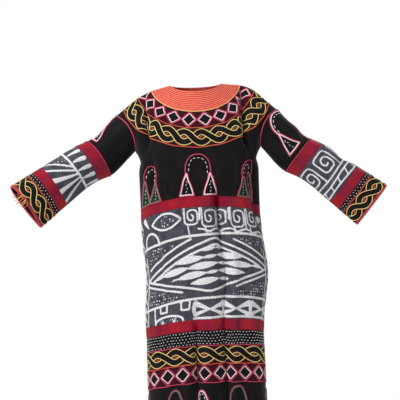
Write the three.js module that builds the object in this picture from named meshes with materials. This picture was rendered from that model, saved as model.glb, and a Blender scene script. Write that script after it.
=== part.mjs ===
// A long sleeve dress, ankle length and straight in cut, standing open as it does when it is worn
// with the arms held out and down. Black velvet makes the bodice, upper sleeves, cuffs and border;
// red satin bands join them to the resist-dyed cotton of the skirt and forearms; the collar is a
// round yoke of coral cord.
//
// Frame, in millimetres: the origin lies midway between the shoulders at the height of the neck's
// side points, where the wearer's shoulders carry the dress. +Z is up, the front faces -Y, and the
// wearer's left arm is on +X.
//
// The whole dress is first laid out as one net of four-sided facets over its outer face, on which
// every facet belongs to one piece of cloth. Each piece is then made into a thin closed wall.
import * as THREE from "three";

// A table: the names of its columns, then its rows.
const named = (columns, rows) =>
  rows.map((row) => Object.fromEntries(columns.map((column, i) => [column, row[i]])));

// ---------------------------------------------------------------- Cloth
const WALL = { velvet: 2.2, satin: 1.6, cotton: 1.6, cord: 4, binding: 3 };
const SEAM_GAP = 0.3;
const FINISH = {
  velvet: { color: 0x14110f, roughness: 0.95, metalness: 0 },
  satin: { color: 0xa50f26, roughness: 0.45, metalness: 0 },
  cotton: { color: 0x55586a, roughness: 0.9, metalness: 0 },
  cord: { color: 0xe9604a, roughness: 0.8, metalness: 0 },
  binding: { color: 0xa8203e, roughness: 0.7, metalness: 0 },
};

// ---------------------------------------------------------------- Body sizes
// One row for each station up the side seam. run is the length of cloth from the hem. half and sideZ
// place the seam; frontY and frontZ place the centre front, and backY and backZ the centre back.
const BODY = named(
  ["station", "run", "half", "sideZ", "frontY", "frontZ", "backY", "backZ"],
  [
    ["hem", 0, 211, -1300, 138, -1272, 131, -1288],
    ["seam", 8, 211, -1292, 138, -1264, 131, -1280],
    ["calf", 254, 202, -1046, 135, -1016, 129, -1034],
    ["border", 443, 202, -857, 133, -828, 127, -846],
    ["lowBand", 479, 204, -821, 133, -791, 127, -810],
    ["hip", 664, 210, -636, 134, -598, 124, -622],
    ["skirt", 841, 206, -459, 130, -416, 106, -441],
    ["waist", 876, 205, -424, 129, -381, 104, -406],
    ["bust", 1010, 206, -290, 134, -325, 107, -318],
    ["armpit", 1060, 197, -240, 134, -305, 109, -285],
    ["underarm", 1090, 215, -215.5, 134, -290, 110, -262],
  ],
);
const RUN = Object.fromEntries(BODY.map((row) => [row.station, row.run]));
const SQUARENESS = 2.35; // of the body's oval in plan: 2 is an ellipse
const HIP_SWAY = { z: -650, reach: 105, shift: 15 }; // the hips rest a little towards the left
const LOW_SIDE = { from: 40, to: 200, end: 230, top: -300, full: -400, drop: 11 }; // on the right
const HIGH_SHOULDER = { x: 185, reach: 60, top: -40, low: -190, lift: 12 }; // on the left

// The yoke's rings, from the neck out. half and sideZ place each where it crosses the shoulder.
const RINGS = named(
  ["ring", "half", "sideZ", "frontY", "frontZ", "backY", "backZ"],
  [
    ["neck", 86, 5, 58, -23, 60, 2],
    ["collar", 153, -12, 94, -95, 90, -62],
    ["diamonds", 199, -34, 111, -151, 103, -118],
    ["rope", 251, -72, 126, -218, 109, -184],
  ],
);
const RIDGE_ROUND = 0.2; // how softly a ring passes over the shoulder
const YOKE_AT_UNDERARM = 56; // degrees round each ring, from the centre, of the line to the underarm

// ---------------------------------------------------------------- Sleeve sizes
// The armhole is an oval between the shoulder's tip and the underarm. Its front and back edges are
// cut in towards the body, as a set-in sleeve's are.
const ARMHOLE = { topX: 278, topZ: -93, lowX: 215, lowZ: -215.5, depth: 62, cutFront: 22, cutBack: 12 };
const ARMHOLE_HALF = Math.hypot(ARMHOLE.topX - ARMHOLE.lowX, ARMHOLE.topZ - ARMHOLE.lowZ) / 2;
const CUFF_CENTRE = {
  right: new THREE.Vector3(-578, -140, -395), // the right arm reaches forward
  left: new THREE.Vector3(587, -31, -433), // the left arm hangs lower
};
// along is a share of the sleeve's length. height and depth are half the oval's two axes, hang is how
// far its fullest part lies above its middle, since the cloth hangs from the arm, and sag is how far
// the whole oval lies below the straight line to the cuff.
const SLEEVE = named(
  ["along", "height", "depth", "hang", "sag"],
  [
    [0, ARMHOLE_HALF, ARMHOLE.depth, 0, 0],
    [0.1, 68, 60, 0.05, 7],
    [0.28, 72, 55, 0.2, 14],
    [0.42, 71, 52, 0.26, 3],
    [0.5, 71, 50, 0.28, 0],
    [0.73, 77, 46, 0.32, 0],
    [1, 85, 43, 0.32, 0],
  ],
);
const SLEEVE_TURN = 0.2; // the share of the sleeve in which its rings turn square to the arm

// ---------------------------------------------------------------- Folds
// The largest folds. Each is a soft trough from its top point to its low point, seen from the front
// or the back, and spread is how far its sides reach.
const FOLDS = named(
  ["side", "topX", "topZ", "lowX", "lowZ", "depth", "spread"],
  [
    ["front", 54, -330, 66, -1420, 15, 26],
    ["front", -20, -690, -32, -1420, 14, 22],
    ["front", -52, -350, -66, -620, 7, 24],
    ["front", -150, -205, -160, -420, 9, 20],
    ["front", 168, -215, 160, -470, 8, 20],
    ["front", 128, -560, 136, -1420, 9, 26],
    ["front", -122, -640, -130, -1420, 8, 26],
    ["front", -143, -40, -168, -225, 7, 20],
    ["front", 146, -35, 163, -225, 7, 20],
    ["back", 12, -340, -6, -1420, 13, 28],
    ["back", 96, -420, 104, -1420, 12, 26],
    ["back", -88, -390, -102, -1420, 14, 28],
    ["back", 158, -150, 148, -420, 9, 22],
    ["back", -152, -150, -156, -450, 9, 22],
  ],
);
const FOLD_FADE = 90; // the length in which a fold starts and ends
// Dents across a sleeve's upper edge, by share of its length.
const DENTS = { left: [0.24, 0.6], right: [0.22] };
const DENT = { depth: 8, reach: 0.06, arc: 0.9 };

// ---------------------------------------------------------------- Facets
const BODY_COLUMNS = 20; // across the front, and across the back
const ARMHOLE_STEPS = 7; // from the underarm up to the shoulder, front and back
const BODY_PANELS = [
  { piece: "hem_binding", from: "hem", to: "seam", rows: 1 },
  { piece: "border", from: "seam", to: "border", rows: 7 },
  { piece: "low_band", from: "border", to: "lowBand", rows: 1 },
  { piece: "skirt", from: "lowBand", to: "skirt", rows: 7 },
  { piece: "waist_band", from: "skirt", to: "waist", rows: 1 },
  { piece: "bodice", from: "waist", to: "bust", rows: 3 },
  { piece: "bodice", from: "bust", to: "armpit", rows: 1 },
  { piece: "bodice", from: "armpit", to: "underarm", rows: 1 },
];
const YOKE_PANELS = [
  { piece: "collar", rows: 3 },
  { piece: "bodice", rows: 2 },
  { piece: "bodice", rows: 2 },
  { piece: "bodice", rows: 3 },
];
const SLEEVE_PANELS = [
  { piece: "upper", from: 0, to: 0.31, rows: 4 },
  { piece: "upper_band", from: 0.31, to: 0.408, rows: 1 },
  { piece: "forearm", from: 0.408, to: 0.73, rows: 3 },
  { piece: "lower_band", from: 0.73, to: 0.812, rows: 1 },
  { piece: "cuff", from: 0.812, to: 0.987, rows: 2 },
  { piece: "cuff_binding", from: 0.987, to: 1, rows: 1 },
];
const CLOTH = {
  hem_binding: "binding",
  border: "velvet",
  low_band: "satin",
  skirt: "cotton",
  waist_band: "satin",
  bodice: "velvet",
  collar: "cord",
  upper: "velvet",
  upper_band: "satin",
  forearm: "cotton",
  lower_band: "satin",
  cuff: "velvet",
  cuff_binding: "binding",
};

const { lerp, smoothstep, degToRad } = THREE.MathUtils;
const spaced = (start, end, steps) =>
  Array.from({ length: steps + 1 }, (_, i) => lerp(start, end, i / steps));

// ---------------------------------------------------------------- Curves through the tables
// A smooth curve through a table's column that never overshoots its rows.
function through(table, key, column) {
  const x = table.map((row) => row[key]);
  const y = table.map((row) => row[column]);
  const rise = x.slice(1).map((xi, i) => (y[i + 1] - y[i]) / (xi - x[i]));
  const slope = y.map((_, i) => {
    if (i === 0) return rise[0];
    if (i === rise.length) return rise[i - 1];
    return rise[i - 1] * rise[i] <= 0 ? 0 : (2 * rise[i - 1] * rise[i]) / (rise[i - 1] + rise[i]);
  });
  return (at) => {
    let i = 0;
    while (i < x.length - 2 && at > x[i + 1]) i += 1;
    const step = x[i + 1] - x[i];
    const t = (at - x[i]) / step;
    const passed = (3 - 2 * t) * t * t;
    return lerp(y[i], y[i + 1], passed) + step * t * (1 - t) * (slope[i] * (1 - t) - slope[i + 1] * t);
  };
}

const columnsOf = (table, key, names) =>
  Object.fromEntries(names.map((name) => [name, through(table, key, name)]));
const body = columnsOf(BODY, "run", ["half", "sideZ", "frontY", "frontZ", "backY", "backZ"]);
const sleeve = columnsOf(SLEEVE, "along", ["height", "depth", "hang", "sag"]);

// ---------------------------------------------------------------- The body below the arms
// How far round an oval of half width 1 and half depth 1 a point lies.
function onOval(angle, squareness) {
  const s = Math.sin(angle);
  const c = Math.cos(angle);
  const reach = 1 / (Math.abs(s) ** squareness + Math.abs(c) ** squareness) ** (1 / squareness);
  return { aside: reach * s, forward: reach * c };
}

// facing is -1 on the front and 1 on the back. across goes from -1 at the right side seam through 0
// at the centre to 1 at the left side seam.
function bodyPoint(facing, run, across) {
  const { aside, forward } = onOval((across * Math.PI) / 2, SQUARENESS);
  const depth = facing < 0 ? body.frontY(run) : body.backY(run);
  const centreZ = facing < 0 ? body.frontZ(run) : body.backZ(run);
  return new THREE.Vector3(
    body.half(run) * aside,
    facing * depth * forward,
    lerp(body.sideZ(run), centreZ, forward),
  );
}

// ---------------------------------------------------------------- The armhole
const armholeTop = new THREE.Vector3(ARMHOLE.topX, 0, ARMHOLE.topZ);
const armholeCentre = new THREE.Vector3(ARMHOLE.lowX, 0, ARMHOLE.lowZ).lerp(armholeTop, 0.5);
const armholeUp = armholeTop.clone().sub(armholeCentre).normalize();
const armholeOut = new THREE.Vector3(armholeUp.z, 0, -armholeUp.x);

// A point of a sleeve. along is 0 at the armhole and 1 at the wrist. angle goes round from 0 at the
// top, by the front for facing -1 or the back for facing 1, to PI underneath.
function sleevePoint(arm, along, facing, angle) {
  const hand = arm === "left" ? 1 : -1;
  const toArm = new THREE.Vector3(hand, 1, 1);
  const start = armholeCentre.clone().multiply(toArm);
  const axis = CUFF_CENTRE[arm].clone().sub(start).normalize();
  const turned = smoothstep(along, 0, SLEEVE_TURN);
  const squareUp = new THREE.Vector3(0, 0, 1).addScaledVector(axis, -axis.z).normalize();
  const up = armholeUp.clone().multiply(toArm).lerp(squareUp, turned).normalize();
  const out = armholeOut.clone().multiply(toArm).lerp(axis, turned).normalize();
  const forward = new THREE.Vector3().crossVectors(out, up).multiplyScalar(hand).normalize();
  const cut = (facing < 0 ? ARMHOLE.cutFront : ARMHOLE.cutBack) * (1 - turned);
  const bulge = Math.sin(angle);
  const rise = Math.cos(angle);
  const reach = sleeve.depth(along) * bulge * (1 + sleeve.hang(along) * rise);
  return start
    .lerp(CUFF_CENTRE[arm], along)
    .addScaledVector(up, sleeve.height(along) * rise - sleeve.sag(along))
    .addScaledVector(forward, -facing * reach)
    .addScaledVector(out, -cut * bulge * bulge);
}

// ---------------------------------------------------------------- The yoke
const rounded = (c) => Math.hypot(c, RIDGE_ROUND) - RIDGE_ROUND;
const overRidge = (c) => rounded(c) / rounded(1);

// The front and back of the yoke are fans. Each of a fan's columns crosses the rings from the neck
// and ends on the armhole or on the body's top row.
const YOKE_COLUMNS = [
  ...spaced(0, 1, ARMHOLE_STEPS).map((down) => ({ side: -1, down })),
  ...spaced(-1, 1, BODY_COLUMNS).slice(1, -1).map((across) => ({ side: Math.sign(across), across })),
  ...spaced(1, 0, ARMHOLE_STEPS).map((down) => ({ side: 1, down })),
];

function yokeCurve(facing, { side, down, across }) {
  const onArmhole = down !== undefined;
  const degrees = onArmhole ? lerp(90, YOKE_AT_UNDERARM, down) : Math.abs(across) * YOKE_AT_UNDERARM;
  const arm = side > 0 ? "left" : "right";
  const end = onArmhole
    ? sleevePoint(arm, 0, facing, Math.PI * down)
    : bodyPoint(facing, RUN.underarm, across);
  const { aside, forward } = onOval(degToRad(degrees), 2);
  const crossings = RINGS.map((ring) => {
    const depth = facing < 0 ? ring.frontY : ring.backY;
    const centreZ = facing < 0 ? ring.frontZ : ring.backZ;
    return new THREE.Vector3(
      side * ring.half * aside,
      facing * depth * forward,
      lerp(ring.sideZ, centreZ, overRidge(forward)),
    );
  });
  return new THREE.CatmullRomCurve3([...crossings, end], false, "centripetal");
}

// ---------------------------------------------------------------- Folds in the cloth
const fadeOf = (into, length) => smoothstep(into, 0, Math.min(FOLD_FADE, length / 2));

function foldDepth(point, facing) {
  let depth = 0;
  for (const fold of FOLDS) {
    const length = fold.topZ - fold.lowZ;
    const down = fold.topZ - point.z;
    if ((fold.side === "front") === facing < 0 && down > 0 && down < length) {
      const aside = (point.x - lerp(fold.topX, fold.lowX, down / length)) / fold.spread;
      depth += fold.depth * Math.exp(-aside * aside) * fadeOf(down, length) * fadeOf(length - down, length);
    }
  }
  // The cloth lies smooth where it crosses a side or shoulder seam.
  return depth * smoothstep(Math.abs(point.y), 4, 40);
}

function dentDepth(arm, along, angle) {
  return DENTS[arm].reduce((depth, at) => {
    const aside = (along - at) / DENT.reach;
    return depth + DENT.depth * Math.exp(-aside * aside - (angle / DENT.arc) ** 2);
  }, 0);
}

// The whole dress follows the wearer's stance.
function stand(point) {
  const below = smoothstep(-point.z, -LOW_SIDE.top, -LOW_SIDE.full);
  const atHip = (point.z - HIP_SWAY.z) / HIP_SWAY.reach;
  const atShoulder = (point.x - HIGH_SHOULDER.x) / HIGH_SHOULDER.reach;
  const onTop = smoothstep(point.z, HIGH_SHOULDER.low, HIGH_SHOULDER.top);
  const lowered = -point.x < LOW_SIDE.end ? smoothstep(-point.x, LOW_SIDE.from, LOW_SIDE.to) * below : 0;
  point.z += HIGH_SHOULDER.lift * Math.exp(-atShoulder * atShoulder) * onTop - LOW_SIDE.drop * lowered;
  point.x += HIP_SWAY.shift * Math.exp(-atHip * atHip);
}

// ---------------------------------------------------------------- The net
const net = { points: [], dips: [], quads: [] };
const placed = new Map();

function knot(point, dip) {
  const key = point.toArray().map((v) => Math.round(v * 10) || 0).join();
  if (!placed.has(key)) {
    placed.set(key, net.points.length);
    net.points.push(point);
    net.dips.push(dip);
  }
  return placed.get(key);
}

// rows[i][j] are knots, and pieces[i] names the piece between rows i and i + 1. A turned grid's rows
// and columns run the other way round, seen from outside.
function layGrid(rows, pieces, turned) {
  pieces.forEach((piece, i) => {
    for (let j = 0; j < rows[i].length - 1; j += 1) {
      const quad = [rows[i][j], rows[i][j + 1], rows[i + 1][j + 1], rows[i + 1][j]];
      net.quads.push({ piece, corners: turned ? quad.reverse() : quad });
    }
  });
}

const rowsOf = (panels, from, to) => [
  ...panels.flatMap((panel, i) => spaced(from(panel, i), to(panel, i), panel.rows).slice(0, -1)),
  to(panels.at(-1), panels.length - 1),
];
const namesOf = (panels, suffix) =>
  panels.flatMap(({ piece, rows }) => Array(rows).fill(`${piece}_${suffix}`));

for (const [side, facing] of [["front", -1], ["back", 1]]) {
  const runs = rowsOf(BODY_PANELS, (p) => RUN[p.from], (p) => RUN[p.to]);
  const bodyRows = runs.map((run) =>
    spaced(-1, 1, BODY_COLUMNS).map((across) => {
      const point = bodyPoint(facing, run, across);
      return knot(point, foldDepth(point, facing));
    }),
  );
  layGrid(bodyRows, namesOf(BODY_PANELS, side), facing > 0);

  const curves = YOKE_COLUMNS.map((column) => yokeCurve(facing, column));
  const outs = rowsOf(YOKE_PANELS, (_, i) => i / YOKE_PANELS.length, (_, i) => (i + 1) / YOKE_PANELS.length);
  const yokeRows = outs.map((out) =>
    curves.map((curve) => {
      const point = curve.getPoint(out);
      return knot(point, foldDepth(point, facing));
    }),
  );
  const yokeNames = namesOf(YOKE_PANELS, side).map((name) => (name.startsWith("collar") ? "collar" : name));
  layGrid(yokeRows, yokeNames, facing < 0);
}

for (const arm of ["right", "left"]) {
  const alongs = rowsOf(SLEEVE_PANELS, (p) => p.from, (p) => p.to);
  for (const facing of [-1, 1]) {
    const rows = alongs.map((along) =>
      spaced(0, Math.PI, ARMHOLE_STEPS).map((angle) =>
        knot(sleevePoint(arm, along, facing, angle), dentDepth(arm, along, angle)),
      ),
    );
    layGrid(rows, namesOf(SLEEVE_PANELS, arm), (arm === "left") === facing > 0);
  }
}

function netNormals() {
  const normals = net.points.map(() => new THREE.Vector3());
  for (const { corners } of net.quads) {
    const [a, b, c, d] = corners.map((at) => net.points[at]);
    const facing = new THREE.Vector3().crossVectors(c.clone().sub(a), d.clone().sub(b));
    for (const at of corners) normals[at].add(facing);
  }
  return normals.map((normal) => normal.normalize());
}

netNormals().forEach((normal, at) => {
  net.points[at].addScaledVector(normal, -net.dips[at]);
  stand(net.points[at]);
});
const outward = netNormals();

// ---------------------------------------------------------------- Pieces
// One closed wall over all of a piece's facets. At its edges it is drawn in by half a seam's gap.
function wallOf(name, thickness) {
  const quads = net.quads.filter((quad) => quad.piece === name).map((quad) => quad.corners);
  const edges = new Map();
  for (const corners of quads) {
    corners.forEach((from, i) => {
      const to = corners[(i + 1) % 4];
      if (edges.has(`${to},${from}`)) edges.delete(`${to},${from}`);
      else edges.set(`${from},${to}`, [from, to]);
    });
  }
  const drawn = new Map();
  for (const [from, to] of edges.values()) {
    for (const at of [from, to]) {
      const along = net.points[to].clone().sub(net.points[from]);
      const inward = new THREE.Vector3().crossVectors(outward[at], along).normalize();
      drawn.set(at, (drawn.get(at) ?? new THREE.Vector3()).add(inward));
    }
  }
  const used = [...new Set(quads.flat())];
  const index = new Map(used.map((at, i) => [at, i]));
  const vertices = [0, thickness].flatMap((layer) =>
    used.map((at) => {
      const point = net.points[at].clone().addScaledVector(outward[at], -layer);
      const pull = drawn.get(at);
      return pull ? point.addScaledVector(pull, SEAM_GAP / pull.lengthSq()) : point;
    }),
  );
  const faces = [];
  // Each side is split along its shorter diagonal, so that two pieces' edges match along a seam.
  const quad = (a, b, c, d) => {
    const ac = vertices[a].distanceTo(vertices[c]);
    const bd = vertices[b].distanceTo(vertices[d]);
    faces.push(...(ac <= bd ? [a, b, c, a, c, d] : [b, c, d, b, d, a]));
  };
  const inner = used.length;
  for (const corners of quads) {
    const [a, b, c, d] = corners.map((at) => index.get(at));
    quad(a, b, c, d);
    quad(inner + d, inner + c, inner + b, inner + a);
  }
  for (const [from, to] of edges.values()) {
    const a = index.get(from);
    const b = index.get(to);
    quad(b, a, inner + a, inner + b);
  }
  const geometry = new THREE.BufferGeometry();
  const positions = vertices.flatMap((v) => v.toArray());
  geometry.setAttribute("position", new THREE.Float32BufferAttribute(positions, 3));
  geometry.setIndex(faces);
  geometry.computeVertexNormals();
  return geometry;
}

const dress = new THREE.Group();
for (const name of new Set(net.quads.map((quad) => quad.piece))) {
  const cloth = CLOTH[name] ?? CLOTH[name.slice(0, name.lastIndexOf("_"))];
  const mesh = new THREE.Mesh(wallOf(name, WALL[cloth]), new THREE.MeshStandardMaterial(FINISH[cloth]));
  mesh.name = name;
  dress.add(mesh);
}

export default dress;
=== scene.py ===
import bmesh
import bpy
import numpy as np
from math import pi
from mathutils import Matrix, Vector


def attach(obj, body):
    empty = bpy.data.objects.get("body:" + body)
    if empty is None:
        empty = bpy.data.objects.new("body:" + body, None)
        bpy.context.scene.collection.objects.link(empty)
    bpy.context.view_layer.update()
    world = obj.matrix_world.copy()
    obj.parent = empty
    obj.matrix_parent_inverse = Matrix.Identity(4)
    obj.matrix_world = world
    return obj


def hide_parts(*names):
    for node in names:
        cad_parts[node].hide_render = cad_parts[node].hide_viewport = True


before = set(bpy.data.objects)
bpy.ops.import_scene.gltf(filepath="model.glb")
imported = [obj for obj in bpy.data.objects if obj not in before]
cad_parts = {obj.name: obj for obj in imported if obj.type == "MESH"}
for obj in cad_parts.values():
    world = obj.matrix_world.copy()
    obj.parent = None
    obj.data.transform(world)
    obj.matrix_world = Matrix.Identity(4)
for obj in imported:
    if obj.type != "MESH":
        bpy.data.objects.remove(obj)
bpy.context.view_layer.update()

# ------------------------------------------------------------------ The skirt
# Two panels of hand-woven cotton, front and back. White figures are stitched off with raffia
# before the indigo dye, and the panels are sewn at the sides and hang in folds from the waist.
# All the lengths in this file are millimetres until a mesh is made.
#
# Each row is a level of the side seam, measured along the cloth from the hem: the half width and
# height there, then the depth and height of the centre front and of the centre back.
LEVELS = np.array([
    # run  half  side z   front y  front z  back y  back z
    (0, 211, -1300, 138, -1272, 131, -1288),
    (8, 211, -1292, 138, -1264, 131, -1280),
    (254, 202, -1046, 135, -1016, 129, -1034),
    (443, 202, -857, 133, -828, 127, -846),
    (479, 204, -821, 133, -791, 127, -810),
    (664, 210, -636, 134, -598, 124, -622),
    (841, 206, -459, 130, -416, 106, -441),
    (876, 205, -424, 129, -381, 104, -406),
    (1010, 206, -290, 134, -325, 107, -318),
    (1060, 197, -240, 134, -305, 109, -285),
    (1090, 215, -215.5, 134, -290, 110, -262),
])
HEM, HEM_TOP, BORDER, LOW_BAND, SKIRT, WAIST, UNDERARM = 0, 8, 443, 479, 841, 876, 1090
OVAL = 2.35
# The folds, as soft troughs from a top point to a low point: x, z, x, z, depth, half width. A depth
# below zero is a ridge. Each fades out over a length at both its ends, the shorter one for creases.
# All die away towards the side seams, between these two distances forward or back of the seam.
FADE, CREASE_FADE, CALM_SIDES = 90, 60, (4, 40)
FOLDS = {
    "front": [
        (54, -330, 66, -1420, 15, 26),
        (-20, -690, -32, -1420, 14, 22),
        (-52, -350, -66, -620, 7, 24),
        (-150, -205, -160, -420, 9, 20),
        (168, -215, 160, -470, 8, 20),
        (128, -560, 136, -1420, 9, 26),
        (-122, -640, -130, -1420, 8, 26),
        (-143, -40, -168, -225, 7, 20),
        (146, -35, 163, -225, 7, 20),
    ],
    "back": [
        (12, -340, -6, -1420, 13, 28),
        (96, -420, 104, -1420, 12, 26),
        (-88, -390, -102, -1420, 14, 28),
        (158, -150, 148, -420, 9, 22),
        (-152, -150, -156, -450, 9, 22),
    ],
}
CREASES = {
    "front": [
        (63, -352, 74, -600, 12, 19),
        (92, -372, 98, -760, -4, 11),
        (40, -360, 47, -700, -3, 12),
        (-34, -400, -38, -700, 3, 13),
        (-96, -392, -104, -600, 4, 15),
        (-118, -420, -126, -560, -3, 12),
        (104, -400, 112, -560, 4, 14),
        (142, -380, 150, -520, -3, 12),
        (-12, -700, -16, -1300, -4, 12),
        (-50, -720, -54, -1300, -4, 13),
        (88, -700, 94, -1300, -3, 14),
        (-168, -600, -172, -900, 4, 14),
        (168, -620, 176, -860, 4, 13),
        (-60, -235, -120, -330, 3, 15),
        (70, -240, 118, -345, 3, 15),
        (-112, -250, -150, -400, -3, 12),
        (178, -240, 150, -330, 3, 12),
        (-180, -235, -140, -330, 3, 12),
        (-128, -70, -142, -200, -3, 11),
        (128, -66, 138, -205, -3, 11),
        (-150, -470, -158, -900, 6, 9),
        (-30, -400, 20, -440, 2, 9),
        (-102, -200, -114, -400, -5, 4),
        (-30, -210, -36, -400, -2, 7),
    ],
    "back": [
        (50, -380, 56, -760, 4, 14),
        (-40, -420, -46, -700, -4, 13),
        (130, -420, 134, -640, 4, 14),
        (-130, -430, -136, -660, 4, 15),
        (-20, -650, -26, -1300, 5, 16),
        (64, -700, 60, -1300, -4, 14),
        (-140, -700, -146, -1300, 5, 15),
        (150, -660, 156, -1300, 4, 14),
        (60, -180, 110, -330, 3, 16),
        (-64, -190, -118, -335, 4, 16),
        (-8, -250, -4, -390, 3, 16),
        (20, -398, 80, -430, 3, 10),
        (-90, -400, -30, -432, -3, 10),
    ],
}

# Pleats are deep and narrow, and their lips are drawn together.
LIPS = 0.8
PLEATS = {
    "front": [
        (-178, -20, -168, -240, 25, 10),
        (156, -6, 166, -250, 36, 12),
        (-163, -215, -160, -350, 13, 9),
        (176, -262, 199, -500, 26, 14),
        (-70, -375, -67, -505, 6, 7),
        (55, -340, 66, -540, 26, 17),
        (60, -480, 68, -860, 14, 9),
        (67, -800, 87, -1420, 24, 13),
        (-33, -790, -34, -1420, 26, 13),
    ],
    "back": [
        (-170, -40, -160, -230, 14, 9),
        (164, -40, 158, -230, 14, 9),
        (10, -350, -2, -760, 9, 10),
        (-96, -760, -100, -1420, 10, 9),
        (98, -800, 104, -1420, 8, 9),
    ],
}


# How the wearer stands: the hips go aside, one shoulder is lifted and the other side drops. Each has
# how far it moves, where it is fullest and how far that spreads.
HIP_ASIDE, HIP_LEVEL, HIP_SPREAD = 15, -650, 105
SHOULDER_LIFT, SHOULDER_X, SHOULDER_SPREAD, SHOULDER_LEVELS = 12, 185, 60, (-190, -40)
SIDE_DROP, SIDE_ACROSS, SIDE_DOWN, SIDE_END = 11, (40, 200), (300, 400), 230
# The cloth faces away from a line up the middle of the body, which ends at this level in the chest.
MIDDLE_TOP = -250


def smooth(value, start, end):
    t = np.clip((value - start) / (end - start), 0, 1)
    return t * t * (3 - 2 * t)


def through(x, y, at):
    """A smooth curve through a table's rows that never overshoots them."""
    x, y = np.asarray(x, float), np.asarray(y, float)
    rise = np.diff(y) / np.diff(x)
    slope = np.concatenate([rise[:1], np.zeros(len(y) - 2), rise[-1:]])
    same = rise[:-1] * rise[1:] > 0
    slope[1:-1][same] = (2 * rise[:-1] * rise[1:])[same] / (rise[:-1] + rise[1:])[same]
    i = np.clip(np.searchsorted(x, at, side="left") - 1, 0, len(x) - 2)
    step = x[i + 1] - x[i]
    t = (at - x[i]) / step
    passed = (3 - 2 * t) * t * t
    bend = step * t * (1 - t) * (slope[i] * (1 - t) - slope[i + 1] * t)
    return y[i] * (1 - passed) + y[i + 1] * passed + bend


def on_oval(angle, square):
    s, c = np.sin(angle), np.cos(angle)
    reach = (np.abs(s) ** square + np.abs(c) ** square) ** (-1 / square)
    return reach * s, reach * c


def body_base(side, run, across):
    """Below the arms: run along the side seam, across from -1 at the right seam to 1 at the left."""
    aside, forward = on_oval(across * pi / 2, OVAL)
    half, side_z = (through(LEVELS[:, 0], LEVELS[:, k], run) for k in (1, 2))
    first = 3 if side == "front" else 5
    depth, centre_z = (through(LEVELS[:, 0], LEVELS[:, k], run) for k in (first, first + 1))
    facing = -1 if side == "front" else 1
    level = side_z + (centre_z - side_z) * forward
    return np.stack([half * aside, facing * depth * forward, level], -1)


def stand(points):
    """The dress follows the stance: hips a little to the left, right side low, left shoulder high."""
    x, y, z = (points[..., k] for k in range(3))
    lifted = np.exp(-(((x - SHOULDER_X) / SHOULDER_SPREAD) ** 2))
    lowered = smooth(-x, *SIDE_ACROSS) * smooth(-z, *SIDE_DOWN) * (x > -SIDE_END)
    z = z + SHOULDER_LIFT * lifted * smooth(z, *SHOULDER_LEVELS) - SIDE_DROP * lowered
    x = x + HIP_ASIDE * np.exp(-(((z - HIP_LEVEL) / HIP_SPREAD) ** 2))
    return np.stack([x, y, z], -1)


def troughs(points, rows, fade, lips=0.0):
    """How deep the folds are at each point. With lips, how far the points are drawn to each fold's
    line instead."""
    x, z = points[..., 0], points[..., 2]
    depth = np.zeros(x.shape)
    for top_x, top_z, low_x, low_z, deep, spread in rows:
        length = top_z - low_z
        down = np.clip(top_z - z, 0, length)
        aside = (x - top_x - (low_x - top_x) * down / length) / spread
        ends = min(fade, length / 2)
        size = lips * spread * aside if lips else deep
        depth += size * np.exp(-(aside**2)) * smooth(down, 0, ends) * smooth(length - down, 0, ends)
    return depth * smooth(np.abs(points[..., 1]), *CALM_SIDES)


def body_dip(points, side):
    folds = troughs(points, FOLDS[side], FADE) + troughs(points, CREASES[side], CREASE_FADE)
    return folds + troughs(points, PLEATS[side], CREASE_FADE)


def pleated(points, side):
    drawn_in = troughs(points, PLEATS[side], CREASE_FADE, lips=LIPS)
    return points - drawn_in[..., None] * np.array([1, 0, 0])


def unit(v):
    return v / np.maximum(np.linalg.norm(v, axis=-1, keepdims=True), 1e-9)


def from_body(points):
    none = 0 * points[..., 0]
    return points - np.stack([none, none, np.minimum(points[..., 2], MIDDLE_TOP)], -1)


def square_to(points, outward):
    """Which way each point of a grid faces, on the side that outward points to."""
    folded = unit(np.cross(np.gradient(points, axis=0), np.gradient(points, axis=1)))
    return folded * np.sign(np.sum(folded * outward, -1, keepdims=True))


def lay_out(base, a, b, dip, outward, side=None):
    """A grid of points on the cloth with its folds, and which way it faces at each. The front and
    the back of the body have pleats as well."""
    a, b = np.broadcast_arrays(a, b)
    near_a, near_b = 1e-4 * np.ptp(a), 1e-4 * np.ptp(b)
    along_a = base(a + near_a, b) - base(a - near_a, b)
    along_b = base(a, b + near_b) - base(a, b - near_b)
    facing = unit(np.cross(along_a, along_b))
    middle = base(a, b)
    facing *= np.sign(np.sum(facing * outward(middle), -1, keepdims=True))
    points = stand((pleated(middle, side) if side else middle) - facing * dip(a, b)[..., None])
    return points, square_to(points, facing)


def along_row(row):
    """Each point's place along a row, in millimetres from the row's middle."""
    length = np.concatenate([[0], np.cumsum(np.linalg.norm(np.diff(row, axis=0), axis=-1))])
    return length - length[-1] / 2


def body_sheet(side, low, high, cell=5.0, columns=112, ripple=0.0):
    """The front or back between two levels, and every point's place on the cut cloth. A gathered
    band ripples between its two seams."""
    runs = np.linspace(high, low, max(2, round((high - low) / cell)) + 1)[:, None]
    across = np.linspace(-1, 1, columns + 1)[None, :]

    def dip(run, at):
        between_seams = np.sin(pi * (run - low) / (high - low))
        gathers = ripple * np.sin(at * 71 + np.sin(at * 23) * 2 + run / 40) * between_seams
        return body_dip(body_base(side, run, at), side) + gathers

    points, facing = lay_out(lambda a, b: body_base(side, a, b), runs, across, dip, from_body, side)
    span = along_row(points[len(points) // 2])
    return points, facing, np.stack(np.broadcast_arrays(span[None, :], runs - high), -1)


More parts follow.
